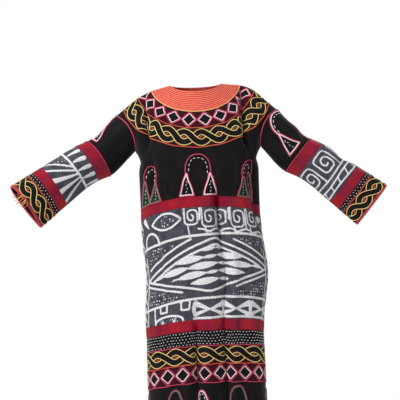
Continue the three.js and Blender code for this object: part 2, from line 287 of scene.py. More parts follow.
def stitch_up(name, sheets, thickness, material, marks=()):
    """One piece of cloth: grids of points sewn along their shared edges, then given its thickness.
    Each sheet is (points, facing, place on the cut cloth, then a grid of values for each mark)."""
    cloth = bmesh.new()
    layer = cloth.loops.layers.uv.new("cut")
    mark_layers = [cloth.verts.layers.float.new(mark) for mark in marks]
    for points, facing, flat, *values in sheets:
        rows, columns = points.shape[:2]
        made = bmesh.ops.create_grid(cloth, x_segments=columns - 1, y_segments=rows - 1, size=1)
        faces = {face for vert in made["verts"] for face in vert.link_faces}
        place = {}
        for vert in made["verts"]:
            i, j = round((vert.co.y + 1) / 2 * (rows - 1)), round((vert.co.x + 1) / 2 * (columns - 1))
            place[vert] = (i, j)
            vert.co = points[i, j] / 1000
            for mark_layer, value in zip(mark_layers, values):
                vert[mark_layer] = value[i, j]
        for face in faces:
            for loop in face.loops:
                loop[layer].uv = flat[place[loop.vert]] / 1000
        for face in faces:
            face.normal_update()
        if sum(face.normal.dot(Vector(facing[place[face.verts[0]]])) for face in faces) < 0:
            bmesh.ops.reverse_faces(cloth, faces=list(faces))
    bmesh.ops.remove_doubles(cloth, verts=cloth.verts, dist=0.0002)
    mesh = bpy.data.meshes.new(name)
    cloth.to_mesh(mesh)
    cloth.free()
    mesh.shade_smooth()
    mesh.materials.append(material)
    piece = bpy.data.objects.new(name, mesh)
    bpy.context.collection.objects.link(piece)
    wall = piece.modifiers.new("thickness", "SOLIDIFY")
    wall.thickness, wall.offset, wall.use_quality_normals = thickness / 1000, -1, True
    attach(piece, "root")
    return piece


def cut_size(sheets):
    """The width, length and area in metres of the flat cloth that these sheets take."""
    widths, lengths, area = [], [], 0
    for points, *_ in sheets:
        steps = [np.diff(points, axis=k) / 1000 for k in (0, 1)]
        area += np.linalg.norm(np.cross(steps[0][:, :-1], steps[1][:-1]), axis=-1).sum()
        widths.append(np.linalg.norm(steps[1], axis=-1).sum(1).max())
        lengths.append(np.linalg.norm(steps[0], axis=-1).sum(0).max())
    return (max(widths), sum(lengths)), area


def declare_cut(sheets):
    (width, length), area = cut_size(sheets)


# The white figures. A stroke is x, y, x, y and its half width at the start, the middle and the end.
# A place that no stroke comes near counts as this far outside.
FAR_OUTSIDE = -30.0


def run_of(points, half, steps=5):
    """Strokes along a smooth curve through the points."""
    points = np.array(points, float)
    padded = np.vstack([2 * points[0] - points[1], points, 2 * points[-1] - points[-2]])
    line = [points[0]]
    for p0, p1, p2, p3 in zip(padded, padded[1:], padded[2:], padded[3:]):
        for t in np.arange(1, steps + 1) / steps:
            line.append(
                0.5 * (2 * p1 + (p2 - p0) * t + (2 * p0 - 5 * p1 + 4 * p2 - p3) * t**2
                       + (3 * p1 - p0 - 3 * p2 + p3) * t**3)
            )
    return [(*a, *b, half, half, half) for a, b in zip(line, line[1:])]


def bars(points, half):
    return [(*a, *b, half, half, half) for a, b in zip(points, points[1:])]


def spindle(x0, y0, x1, y1, half):
    return [(x0, y0, x1, y1, 0.8, half, 0.8)]


def wedge(x0, y0, x1, y1, wide, narrow=0.8):
    return [(x0, y0, x1, y1, wide, (wide + narrow) / 2, narrow)]


def drawn(strokes, x, y):
    """How far inside the nearest stroke each place is, in millimetres."""
    inside = np.full(x.shape, FAR_OUTSIDE)
    for x0, y0, x1, y1, start, middle, end in strokes:
        length = max(np.hypot(x1 - x0, y1 - y0), 1e-6)
        way = ((x1 - x0) / length, (y1 - y0) / length)
        on = np.clip((x - x0) * way[0] + (y - y0) * way[1], 0, length)
        off = np.hypot(x - x0 - on * way[0], y - y0 - on * way[1])
        t = on / length
        half = start * (1 - t) * (1 - 2 * t) + 4 * middle * t * (1 - t) + end * t * (2 * t - 1)
        inside = np.maximum(inside, half - off)
    return inside


def shaped(corners, x, y):
    """How far inside a convex patch each place is, in millimetres."""
    centre = np.mean(corners, 0)
    inside = np.full(x.shape, 1e3)
    for (x0, y0), (x1, y1) in zip(corners, [*corners[1:], corners[0]]):
        across = np.array([y0 - y1, x1 - x0]) / np.hypot(x1 - x0, y1 - y0)
        across *= np.sign(across @ (centre - (x0, y0)))
        inside = np.minimum(inside, (x - x0) * across[0] + (y - y0) * across[1])
    return inside


def node(tree, kind, *feeds, out=0, **settings):
    """A shader node with its settings, its inputs fed in order by sockets or plain values."""
    made = tree.nodes.new("ShaderNode" + kind)
    for word, value in settings.items():
        setattr(made, word, value)
    for socket, feed in zip(made.inputs, feeds):
        if isinstance(feed, bpy.types.NodeSocket):
            tree.links.new(feed, socket)
        elif feed is not None:
            socket.default_value = feed
    return made.outputs[out]


def maths(tree, operation, *feeds):
    return node(tree, "Math", *feeds, operation=operation)


def stepped(tree, value, low, high):
    """0 below low, 1 above high, soft between."""
    made = tree.nodes.new("ShaderNodeMapRange")
    made.interpolation_type = "SMOOTHSTEP"
    tree.links.new(value, made.inputs["Value"])
    made.inputs["From Min"].default_value, made.inputs["From Max"].default_value = low, high
    return made.outputs["Result"]


def dyed(tree, share, one, other):
    """One colour or the other, by a share that changes over the cloth."""
    made = tree.nodes.new("ShaderNodeMix")
    made.data_type = "RGBA"
    tree.links.new(share, made.inputs["Factor"])
    for socket, colour in ((made.inputs[6], one), (made.inputs[7], other)):
        if isinstance(colour, bpy.types.NodeSocket):
            tree.links.new(colour, socket)
        else:
            socket.default_value = (*colour, 1)
    return made.outputs[2]


def mark(tree, name):
    return node(tree, "Attribute", out=2, attribute_name=name)


def mottle(tree, place, size, detail=2.0, rough=0.5):
    """Soft uneven noise whose patches are about size metres across."""
    return node(tree, "TexNoise", place, None, 1 / size, detail, rough)


def group_of(name, inputs, outputs):
    tree = bpy.data.node_groups.new(name, "ShaderNodeTree")
    for word, kind, value in inputs:
        made = tree.interface.new_socket(word, in_out="INPUT", socket_type=kind)
        if value is not None:
            made.default_value = value
    for word, kind in outputs:
        tree.interface.new_socket(word, in_out="OUTPUT", socket_type=kind)
    return tree, tree.nodes.new("NodeGroupInput").outputs, tree.nodes.new("NodeGroupOutput").inputs


# Plain weave: threads of the given pitch over and under each other, a little uneven.
weave, weave_in, weave_out = group_of(
    "plain weave",
    [
        ("Place", "NodeSocketVector", None),
        ("Pitch", "NodeSocketFloat", 0.001),
        ("Uneven", "NodeSocketFloat", 0.3),
    ],
    [("Height", "NodeSocketFloat")],
)
turns = maths(weave, "DIVIDE", pi, weave_in["Pitch"])
split = weave.nodes.new("ShaderNodeSeparateXYZ")
weave.links.new(weave_in["Place"], split.inputs[0])
warp = maths(weave, "SINE", maths(weave, "MULTIPLY", split.outputs["X"], turns))
weft = maths(weave, "SINE", maths(weave, "MULTIPLY", split.outputs["Y"], turns))
over = maths(weave, "ABSOLUTE", maths(weave, "MULTIPLY", warp, weft))
slub = maths(weave, "MULTIPLY", mottle(weave, weave_in["Place"], 0.004), weave_in["Uneven"])
weave.links.new(maths(weave, "ADD", over, slub), weave_out["Height"])


def woven(tree, place, pitch, uneven):
    made = tree.nodes.new("ShaderNodeGroup")
    made.node_tree = weave
    tree.links.new(place, made.inputs["Place"])
    made.inputs["Pitch"].default_value, made.inputs["Uneven"].default_value = pitch, uneven
    return made.outputs["Height"]


def new_finish(name, **plain):
    """A material with its plain numbers set on the shader's own sockets."""
    material = bpy.data.materials.new(name)
    material.use_nodes = True
    shader = material.node_tree.nodes["Principled BSDF"]
    for word, value in plain.items():
        shader.inputs[word.replace("_", " ").title().replace("Ior", "IOR")].default_value = value
    return material, material.node_tree, shader.inputs


def stretched(tree, place, *scale):
    """The same place on the cloth, with a pattern drawn out where the scale is small."""
    return node(tree, "Mapping", place, None, None, scale)


def surfaced(tree, shader, colour, height, far):
    """Gives a finish its colour, and its relief of far metres."""
    tree.links.new(colour, shader["Base Color"])
    bump = tree.nodes.new("ShaderNodeBump")
    bump.inputs["Distance"].default_value = far
    tree.links.new(height, bump.inputs["Height"])
    tree.links.new(bump.outputs[0], shader["Normal"])


INDIGO, INDIGO_WORN = (0.028, 0.029, 0.044), (0.07, 0.074, 0.102)
UNDYED, UNDYED_SOILED = (0.95, 0.94, 0.96), (0.56, 0.56, 0.59)
resist_cotton, tree, shader = new_finish(
    "resist_cotton", roughness=0.92, sheen_weight=0.12, sheen_roughness=0.5
)
on_cut = node(tree, "UVMap", uv_map="cut")
grain = mottle(tree, on_cut, 0.0035, 3.0, 0.65)
ragged = maths(tree, "MULTIPLY_ADD", grain, 5.0, -2.5)
figure = stepped(tree, maths(tree, "ADD", mark(tree, "resist"), ragged), -1.0, 0.6)
spots = tree.nodes.new("ShaderNodeTexVoronoi")
spots.inputs["Scale"].default_value, spots.inputs["Randomness"].default_value = 1 / 0.0098, 0.4
tree.links.new(on_cut, spots.inputs["Vector"])
tied = stepped(tree, spots.outputs["Distance"], 0.31, 0.19)
speckled = maths(tree, "MULTIPLY", tied, stepped(tree, mark(tree, "dotted"), 0, 2))
white = maths(tree, "MAXIMUM", figure, speckled)
fleck = stepped(tree, mottle(tree, on_cut, 0.0022, 2.0, 0.6), 0.62, 0.74)
ground = dyed(tree, stepped(tree, mottle(tree, on_cut, 0.03, 3.0, 0.6), 0.3, 0.75), INDIGO, INDIGO_WORN)
ground = dyed(tree, maths(tree, "MULTIPLY", fleck, 0.55), ground, UNDYED_SOILED)
pale = dyed(tree, stepped(tree, grain, 0.35, 0.62), UNDYED_SOILED, UNDYED)
swelled = maths(tree, "MULTIPLY", figure, 0.6)
threads = maths(tree, "MULTIPLY_ADD", woven(tree, on_cut, 0.0011, 0.8), 0.5, swelled)
surfaced(tree, shader, dyed(tree, white, ground, pale), threads, 0.0006)
COTTON_THICK, COTTON_MARKS = 1.6, ("resist", "dotted")

# The drawing of one panel, in millimetres across from the middle and down from the waist: a frieze
# of a leaf and square keys, a long rule, a wide lozenge of spindles in double lines, and a frieze
# of an arch, boxes and crossed wedges at the foot. Each motif is worked out from its own sizes.
PANEL_HALF, PANEL_DEEP, TOP_RULE, LOW_RULE = 252, 362, 92, 302
LOZENGE = {"left": (-236, 212), "peak": (30, 102), "right": (242, 190), "foot": (0, 270)}
ECHO, LINE_SAG = 20, 7
ROW_PITCH, ROW_FALL = 25, {-1: 0.13, 1: 0.05}
SPINDLE = {"long": 104, "half": 10.6, "full_from": 92, "tilt": 0.02}
KEY = {"pitch": 60, "wide": 46, "tall": 54}
WEDGES = {"pitch": 112, "half_long": 50, "half_wide": 17}
SIDE_PITCH = 62


def sagged(start, end, sag, shift=0.0, part=(0, 1)):
    """Points along part of a line between two places, sagging in its middle and moved down by shift."""
    t = np.linspace(*part, 7)[:, None]
    start, end = np.array(start, float), np.array(end, float)
    return start + (end - start) * t + np.array([0, 1]) * (4 * sag * t * (1 - t) + shift)


def leaf(x, y, half_long, half_wide):
    """A pointed leaf in outline."""
    ends = (x - half_long, y), (x + half_long, y)
    return [stroke for k in (-1, 1) for stroke in run_of(sagged(*ends, k * half_wide), 3.2)]


def hill(x, foot, wide, tall, half):
    """A round arch that stands on a line."""
    angle = np.linspace(pi, 0, 9)
    return run_of(np.stack([x + wide / 2 * np.cos(angle), foot - tall * np.sin(angle) ** 0.8], 1), half)


def key(x, y, wide, tall, half):
    """A square key: a long upright that turns across at its foot and winds inwards like a coil."""
    turns = (
        (0, 0), (0.02, 0.5), (0.08, 0.92), (0.5, 1), (0.94, 0.92), (1, 0.55), (0.93, 0.2),
        (0.6, 0.13), (0.3, 0.22), (0.27, 0.5), (0.36, 0.72), (0.62, 0.73), (0.7, 0.52), (0.56, 0.42),
    )
    return run_of([(x + a * wide, y + b * tall) for a, b in turns], half)


def crossed(x, y, half_long, half_wide):
    """Four wedges that meet point to point, the upper two the thicker."""
    ends = [(x + a * half_long, y + b * half_wide, 8 - 1.5 * b) for a in (-1, 1) for b in (-1, 1)]
    return [stroke for far, level, half in ends for stroke in wedge(far, level, x, y, half, 2.2)]


def lozenge_field():
    """A wide lozenge in double lines, its peak to one side, filled with rows of spindles. The rows
    fall away from the peak and stand half a spindle apart, which leaves dark lenses between them."""
    left, peak, right, foot = LOZENGE.values()
    across = np.arange(0, PANEL_HALF * 2, 2.0)
    strokes = []
    for row in range(7):
        for hand in (-1, 1):
            x = peak[0] + hand * across
            level = peak[1] + 30 + ROW_PITCH * row + ROW_FALL[hand] * across
            upper = np.interp(x, (left[0], peak[0], right[0]), (left[1], peak[1], right[1]))
            lower = np.interp(x, (left[0], foot[0], right[0]), (left[1], foot[1], right[1]))
            in_lines = (level > upper + ECHO - 6) & (level < lower - 8)
            clear = across[in_lines & (x > left[0] + 8) & (x < right[0] - 8)]
            if len(clear) < 9:
                continue
            begin = clear[0] - (SPINDLE["long"] / 2 if (row + (hand > 0)) % 2 else 0)
            while begin < clear[-1] - 12:
                end = begin + SPINDLE["long"] * (1 + 0.12 * np.sin(2 * row + hand + begin / 40))
                near, far = max(begin, clear[0]), min(end, clear[-1])
                if far - near > 14:
                    lift = SPINDLE["tilt"] * (far - near) / 2
                    y0, y1 = (np.interp(at, across, level) for at in (near, far))
                    half = SPINDLE["half"] * min(1, (far - near) / SPINDLE["full_from"])
                    x0, x1 = peak[0] + hand * near, peak[0] + hand * far
                    strokes += spindle(x0, y0 - lift, x1, y1 + lift, half)
                begin = end - 4
    for shift, trim in ((0, 0), (ECHO, 0.1)):
        rising = sagged(left, peak, -LINE_SAG, shift, (trim, 1))
        falling = sagged(peak, right, -LINE_SAG, shift, (0, 1 - trim))
        strokes += run_of(np.vstack([rising, falling[1:]]), 3.3)
    strokes += run_of(np.vstack([sagged(left, foot, LINE_SAG), sagged(foot, right, LINE_SAG)[1:]]), 3.3)
    for start, end, sag, shift, part in (
        (left, peak, -LINE_SAG, -ECHO - 6, (0.06, 0.7)),
        (peak, right, -LINE_SAG, -ECHO - 6, (0.4, 0.94)),
        (left, foot, LINE_SAG, ECHO - 4, (0.02, 0.6)),
        (foot, right, LINE_SAG, ECHO - 4, (0.45, 0.98)),
    ):
        strokes += run_of(sagged(start, end, sag, shift, part), 3.1)
    return strokes


def skirt_figures(turned):
    """The whole drawing of a panel, turned -1 for its mirror image."""
    strokes = lozenge_field()
    strokes += run_of(sagged((-PANEL_HALF, TOP_RULE + 16), (PANEL_HALF, TOP_RULE - 8), -6), 3.7)
    strokes += run_of(sagged((-PANEL_HALF, LOW_RULE + 8), (PANEL_HALF, LOW_RULE - 8), -10), 3.6)
    strokes += leaf(-134, 34, 54, 26) + hill(-196, TOP_RULE + 10, 60, 42, 3.4)
    strokes += wedge(-226, 12, -202, 42, 9, 1)
    for k in range(5):
        x, tall = -68 + KEY["pitch"] * k, KEY["tall"] + 8 * (k % 2)
        strokes += key(x, 2, KEY["wide"], tall, 2.5) + bars([(x + 12, tall + 2), (x + 14, TOP_RULE - 7)], 2.4)
        strokes += bars([(x + KEY["wide"] + 7, 3), (x + KEY["wide"] + 8, 40 + 26 * (k % 2))], 2.3)
    x = np.linspace(-68 + KEY["wide"], PANEL_HALF, 15)
    strokes += run_of(np.stack([x, 74 + 5 * np.sin(x * 2 * pi / KEY["pitch"])], 1), 2.8)
    strokes += hill(-142, PANEL_DEEP - 2, 112, 20, 3.3)
    strokes += bars([(-200, LOW_RULE + 6), (-198, PANEL_DEEP)], 2.6)
    for x in (-166, -120):
        strokes += wedge(x, PANEL_DEEP, x + 3, PANEL_DEEP - 13, 6, 1)
    for x in (-96, -178):
        box = (0, 0), (1, 24), (29, 24), (29, 0)
        strokes += bars([(x + a, LOW_RULE + b) for a, b in box], 3.0)
    for k in range(3):
        x = 4 + WEDGES["pitch"] * k
        strokes += crossed(x, 328, WEDGES["half_long"], WEDGES["half_wide"])
        strokes += spindle(x - WEDGES["pitch"] / 2, 308, x - WEDGES["pitch"] / 2 + 2, 346, 6.5)
    strokes += run_of(sagged((-50, PANEL_DEEP - 4), (PANEL_HALF, PANEL_DEEP - 6), -3), 3.5)
    for edge, hand in ((-266, 1), (268, -1)):
        strokes += bars([(edge + hand * 30, TOP_RULE + 40), (edge + hand * 32, PANEL_DEEP)], 2.5)
        for y in range(16, 350, SIDE_PITCH):
            tip = edge + hand * 24
            strokes += wedge(edge, y, tip, y + 22, 9, 1) + wedge(edge, y + 46, tip, y + 26, 8, 1)
    return [(turned * a, b, turned * c, d, *halves) for a, b, c, d, *halves in strokes]


def skirt_speckles(turned):
    """The grounds with tied spots: beside the lozenge, in the leaf, and under the arch."""
    left, peak, right, foot = LOZENGE.values()
    grounds = (
        [(left[0], TOP_RULE + 22), (peak[0] - 100, TOP_RULE + 14), (left[0], left[1] - 46)],
        [(right[0], TOP_RULE + 4), (peak[0] + 90, TOP_RULE + 6), (right[0], right[1] - 44)],
        [(left[0], left[1] + 28), (foot[0] - 70, LOW_RULE - 14), (left[0], LOW_RULE - 2)],
        [(right[0], right[1] + 28), (foot[0] + 90, LOW_RULE - 18), (right[0], LOW_RULE - 12)],
        [(-176, 34), (-134, 14), (-92, 34), (-134, 54)],
        [(-190, PANEL_DEEP), (-168, PANEL_DEEP - 17), (-116, PANEL_DEEP - 17), (-94, PANEL_DEEP)],
    )
    return [[(turned * x, y) for x, y in ground] for ground in grounds]


def resist_marks(flat, strokes, patches):
    """The two marks of a dyed panel: its stitched figures, and its ground with tied spots."""
    x, y = flat[..., 0], -flat[..., 1]
    dotted = np.max([shaped(np.array(patch, float), x, y) for patch in patches], 0)
    return drawn(strokes, x, y), dotted


for side, turned in (("front", 1), ("back", -1)):
    sheet = body_sheet(side, LOW_BAND, SKIRT, cell=4.0, columns=144)
    marked = (*sheet, *resist_marks(sheet[2], skirt_figures(turned), skirt_speckles(turned)))
    skirt = stitch_up(
        f"dyed_skirt_{side}", [marked], COTTON_THICK, resist_cotton, COTTON_MARKS
    )
    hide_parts(f"skirt_{side}")
    declare_cut([sheet])

# ------------------------------------------------------------------ The red bands
# Satin ribbon, one above the skirt at the waist and one below it, front and back. Each is sewn
# along both edges over the joins of the panels and ripples a little where the thread pulls it.
# The darker of these two reds is a shaded copy of the first, used as painted shade.
SCARLET, SCARLET_IN_PAINTED_SHADE = (0.45, 0.002, 0.018), (0.27, 0.001, 0.028)
SATIN_THICK = 1.6
satin, tree, shader = new_finish("satin", roughness=0.42, anisotropic=0.35, specular_ior_level=0.28)
on_cut = node(tree, "UVMap", uv_map="cut")
# Painted sheen and shade: the satin's colour runs in long soft bands between lit scarlet and a darker shaded
# copy of it.
painted_sheen_bands = stepped(tree, mottle(tree, stretched(tree, on_cut, 1, 0.3, 1), 0.075, 2.0, 0.5), 0.38, 0.62)
ribs = mottle(tree, stretched(tree, on_cut, 1, 0.12, 1), 0.0028, 3.0, 0.6)
ribbed = maths(tree, "ADD", ribs, woven(tree, on_cut, 0.0009, 0.2))
surfaced(tree, shader, dyed(tree, painted_sheen_bands, SCARLET, SCARLET_IN_PAINTED_SHADE), ribbed, 0.0005)
for side in ("front", "back"):
    for name, low, high in (("low_band", BORDER, LOW_BAND), ("waist_band", SKIRT, WAIST)):
        sheet = body_sheet(side, low, high, columns=150, ripple=0.9)
        band = stitch_up(f"satin_{name}_{side}", [sheet], SATIN_THICK, satin)
        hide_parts(f"{name}_{side}")
        declare_cut([sheet])

# ------------------------------------------------------------------ The border
# Black cotton velvet from the lower band to the hem, front and back. Its rows are worked by hand:
# running stitches, a twist of two strands, a row of diamonds and a row of arches, all in couched
# cord, with dark red cloth showing between them. A narrow red binding closes the hem.
PILE, PILE_RUBBED = (0.0046, 0.0036, 0.0043), (0.0105, 0.009, 0.0105)
DARK_RED, BOTTLE_GREEN = (0.036, 0.003, 0.007), (0.004, 0.032, 0.016)
velvet, tree, shader = new_finish(
    "velvet", roughness=0.95, sheen_weight=0.18, sheen_roughness=0.35, specular_ior_level=0.2
)
on_cut = node(tree, "UVMap", uv_map="cut")
brushed = mottle(tree, stretched(tree, on_cut, 1, 0.4, 1), 0.045, 4.0, 0.6)
pile = dyed(tree, stepped(tree, brushed, 0.42, 0.75), PILE, PILE_RUBBED)
pile = dyed(tree, stepped(tree, mark(tree, "red"), -1, 1), pile, DARK_RED)
pile = dyed(tree, stepped(tree, mark(tree, "green"), -1, 1), pile, BOTTLE_GREEN)
nap = maths(tree, "ADD", mottle(tree, on_cut, 0.0012, 2.0, 0.6), maths(tree, "MULTIPLY", brushed, 2.0))
surfaced(tree, shader, pile, nap, 0.0006)
# The marks give how far inside a red or green ground a place is. Plain velvet is UNMARKED.
VELVET_THICK, VELVET_MARKS, UNMARKED = 2.2, ("red", "green"), -9


def thread_finish(name, colour, other, size, sheen=0.15):
    """Twisted embroidery cord. Its dye shifts from one colour to the other along the work, and painted shade
    darkens the grooves between its plies.
    """
    material, tree, shader = new_finish(name, roughness=0.6, sheen_weight=sheen, sheen_roughness=0.4)
    place = node(tree, "TexCoord", out=3)
    share = stepped(tree, mottle(tree, place, size, 2.0, 0.5), 0.4, 0.62)
    plies = mottle(tree, place, 0.0016, 2.0, 0.7)
    # Painted shade: the colour drops to 0.55 of itself where the plies' relief is low, in the grooves between
    # them.
    shade = dyed(tree, stepped(tree, plies, 0.28, 0.5), tuple(c * 0.55 for c in colour), colour)
    surfaced(tree, shader, dyed(tree, share, shade, other), plies, 0.0007)
    return material


YELLOW, ORANGE, PINK, ROSE, CREAM, SAGE = range(6)
CORDS = [
    thread_finish("yellow_cord", (0.9, 0.76, 0.24), (0.92, 0.58, 0.22), 0.05),
    thread_finish("orange_cord", (0.64, 0.11, 0.036), (0.56, 0.042, 0.036), 0.06),
    thread_finish("pink_cord", (0.62, 0.04, 0.115), (0.46, 0.022, 0.075), 0.05),
    thread_finish("rose_cord", (0.97, 0.67, 0.75), (0.98, 0.87, 0.91), 0.03),
    thread_finish("cream_thread", (0.78, 0.77, 0.76), (0.6, 0.62, 0.62), 0.02),
    thread_finish("sage_cord", (0.16, 0.15, 0.13), (0.1, 0.17, 0.12), 0.04),
]


def on_cloth(sheet, x, y):
    """The places x across from the middle and y down from the top edge of a laid-out sheet."""
    points, facing, flat = sheet[:3]
    j = np.interp(x, flat[len(flat) // 2, :, 0], np.arange(flat.shape[1]))
    i = np.interp(y, -flat[:, 0, 1], np.arange(flat.shape[0]))
    i0 = np.clip(i.astype(int), 0, flat.shape[0] - 2)
    j0 = np.clip(j.astype(int), 0, flat.shape[1] - 2)
    u, v = (i - i0)[:, None], (j - j0)[:, None]

    def between(grid):
        near, far = (grid[i0, at] * (1 - u) + grid[i0 + 1, at] * u for at in (j0, j0 + 1))
        return near * (1 - v) + far * v

    return between(points), unit(between(facing))


def new_work(name):
    """An empty piece of couched cord, in all the cord colours."""
    curve = bpy.data.curves.new(name, "CURVE")
    curve.dimensions = "3D"
    curve.bevel_depth, curve.bevel_resolution, curve.use_fill_caps = 1.0, 1, True
    for cord in CORDS:
        curve.materials.append(cord)
    work = bpy.data.objects.new(name, curve)
    bpy.context.collection.objects.link(work)
    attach(work, "root")
    return work


def thread_through(work, points, radius, cord):
    """One round cord through these points."""
    spline = work.data.splines.new("POLY")
    spline.points.add(len(points) - 1)
    spline.points.foreach_set("co", np.c_[points / 1000, np.ones(len(points))].ravel())
    spline.points.foreach_set("radius", np.full(len(points), radius / 1000))
    spline.material_index = cord


def evenly(line, step):
    length = np.concatenate([[0], np.cumsum(np.linalg.norm(np.diff(line, axis=0), axis=1))])
    at = np.linspace(0, length[-1], max(2, int(round(length[-1] / step)) + 1))
    return np.stack([np.interp(at, length, line[:, k]) for k in (0, 1)], 1)


def unsteady(line, amount=0.8):
    """Hand-sewn work wanders a little off its chalk line."""
    x, y = line[:, 0], line[:, 1]
    return line + amount * np.stack([np.sin(y * 0.11 + x * 0.047), np.sin(x * 0.083 - y * 0.05)], 1)


def couch(work, sheet, line, thick, cord, step=3.0):
    """A cord laid on the cloth along a line and sewn down, as far as the cloth's side seams."""
    line = unsteady(evenly(np.array(line, float), step))
    for line in shown_runs(line, np.abs(line[:, 0]) > sheet[2][0, -1, 0] + 1):
        points, facing = on_cloth(sheet, line[:, 0], line[:, 1])
        thread_through(work, points + facing * thick * 0.3, thick / 2, cord)


def stitch(work, sheet, x0, y0, x1, y1, thick, cord):
    """One short stitch: it comes up out of the cloth, lies on it and goes in again."""
    if max(abs(x0), abs(x1)) > sheet[2][0, -1, 0]:
        return
    t = np.array([0, 0.25, 0.75, 1])
    line = unsteady(np.stack([x0 + (x1 - x0) * t, y0 + (y1 - y0) * t], 1))
    points, facing = on_cloth(sheet, line[:, 0], line[:, 1])
    height = np.array([-0.4, 0.35, 0.35, -0.4])[:, None]
    thread_through(work, points + facing * height * thick, thick / 2, cord)


def running_stitches(work, sheet, width, rows, pitch, long, thick):
    for k, y in enumerate(rows):
        count = int(width / pitch)
        for i in range(count):
            x = (i - (count - 1) / 2 + (k % 2) / 2) * pitch + 0.9 * np.sin(i * 2.1 + k)
            if abs(x) + long < width / 2:
                begin = y + 0.8 * np.sin(i * 1.3 + k * 2)
                stitch(work, sheet, x - long / 2, begin, x + long / 2, y, thick, CREAM)


def shown_runs(line, hidden):
    """The stretches of a line that no other strand hides."""
    change = np.diff(np.r_[1, hidden.astype(int), 1])
    starts, ends = np.flatnonzero(change == -1), np.flatnonzero(change == 1)
    return [line[a:b] for a, b in zip(starts, ends) if b - a > 2]


def strand_off(x, y, sign, swing, pitch, wide):
    """How far inside one strand of the twist a place is, in millimetres."""
    lean = np.hypot(1, swing * pi / pitch * np.sin(pi * x / pitch))
    return wide / 2 - np.abs(y - sign * swing * np.cos(pi * x / pitch)) / lean


def twist(work, sheet, width, eyes, middle, swing, wide, hand=1, thick=4.2):
    """Two black strands twisted like a rope: the one that falls towards the left side passes over.
    Their edges are couched in yellow, and each eye between them is filled with orange stitches."""
    pitch = width / eyes
    x = np.linspace(-width / 2, width / 2, int(width / 1.5))
    for sign in (1, -1):
        slope = -sign * swing * pi / pitch * np.sin(pi * x / pitch)
        lean = np.hypot(1, slope)
        for edge in (-1, 1):
            px = np.clip(x - edge * wide / 2 * slope / lean, -width / 2, width / 2)
            py = sign * swing * np.cos(pi * x / pitch) + edge * wide / 2 / lean
            hidden = (strand_off(px, py, -sign, swing, pitch, wide) > 0.3) & (slope * hand < 0)
            for line in shown_runs(np.stack([px, middle + py], 1), hidden):
                couch(work, sheet, line, thick, YELLOW)
    for k in range(int(-eyes / 2), int(eyes / 2) + 1):
        if abs(k * pitch) < width / 2 - 8:
            for y, half in ((-1.4, 4), (1.2, 6)):
                stitch(work, sheet, k * pitch - half, middle + y, k * pitch + half, middle + y, 2.0, ORANGE)


def twist_ground(x, y, width, eyes, middle, swing, wide, band):
    """How far a place lies in the red ground outside the twist's strands, within its band."""
    pitch = width / eyes
    inside = np.maximum(*(strand_off(x, y - middle, sign, swing, pitch, wide) for sign in (1, -1)))
    within = np.abs(y - middle) - band / 2
    in_eye = (np.abs(y - middle) < swing * 0.6) & (np.cos(pi * x / pitch) ** 2 > 0.5)
    return np.where(in_eye, -3, -np.maximum(inside, within))


def diamonds(work, sheet, width, cells, middle, band, first=0.0, across=0.405, tall=0.37):
    """A row of rose diamonds, each in a cell of crossed pink cords."""
    pitch = width / cells
    for sign in (1, -1):
        at = np.arange(-cells, cells + 1) / 2 + first
        line = np.stack([at * pitch, middle + sign * band / 2 * np.cos(pi * (at - first))], 1)
        line = line[np.abs(line[:, 0]) <= width / 2 + 1]
        couch(work, sheet, line, 3.9, PINK)
    for k in np.arange(-cells, cells) + first:
        x = k * pitch
        if abs(x) > width / 2 + 1:
            continue
        a, b = pitch * across, band * tall
        ring = np.array([(x - a, middle), (x, middle - b), (x + a, middle), (x, middle + b), (x - a, middle)])
        couch(work, sheet, ring, 3.3, ROSE)


def diamond_ground(x, y, width, cells, middle, band, first=0.0):
    pitch = width / cells
    along = np.abs((x / pitch - first + 0.5) % 1 - 0.5) * 2
    past = along + np.abs(y - middle) / (band / 2) - 1
    return np.minimum(past * 18, band / 2 - np.abs(y - middle))


def arch_shape(wide, tall, foot, foot_tall):
    """The outline of an arch on two feet, from its left foot up and over to its right foot."""
    angle = np.linspace(pi, 0, 25)
    aside = wide / 2 * np.sign(np.cos(angle)) * np.abs(np.cos(angle)) ** 0.8
    over = np.stack([aside, foot_tall + (tall - foot_tall) * np.sin(angle) ** 0.8], 1)
    legs = -wide / 2, wide / 2
    return over, [np.array([(leg, foot_tall), (leg - foot / 2, 0), (leg + foot / 2, 0)]) for leg in legs]


def arch(work, sheet, x, wide, tall, base, foot, foot_tall, outline, inner, lined=False, dots=True):
    """An arch on two three-cornered feet: outlined, with a line of stitches inside it."""

    def place(points):
        return np.stack([x + points[:, 0], base - points[:, 1]], 1)

    over, feet = arch_shape(wide, tall, foot, foot_tall)
    outer = arch_shape(wide + 7, tall + 4, foot, foot_tall)[0]
    leg = foot / 2 + 4
    outer = np.vstack([[(-wide / 2 - leg, -3)], outer, [(wide / 2 + leg, -3)]])
    couch(work, sheet, place(outer), 2.6 if lined and not dots else 3.8, outline)
    if lined:
        couch(work, sheet, place(over), 4.0, inner)
    for side, corners in zip((-1, 1), feet):
        couch(work, sheet, place(np.vstack([corners, corners[:1]])), 4.2, inner)
        inward = [(wide / 2 - 3.5, foot_tall + 1), (wide / 2 - leg, -3.5), (wide / 2 + leg, -3.5)]
        couch(work, sheet, place(np.array(inward) * (side, 1)), 3.2, outline)
        for k, share in enumerate((0.14, 0.3, 0.46, 0.6)):
            lean = 1.6 if k % 2 else -1.6
            at_x, at_y = place(np.array([(side * wide / 2 + lean, foot_tall * share)]))[0]
            stitch(work, sheet, at_x - lean, at_y - 2.6, at_x + lean, at_y + 2.6, 2.0, CREAM)
    if dots:
        line = evenly(place(arch_shape(wide - 15, tall - 8, foot, foot_tall)[0]), 7.6)
        for a, b in zip(line[1::2], line[2::2]):
            stitch(work, sheet, *a, *b, 2.7, CREAM)


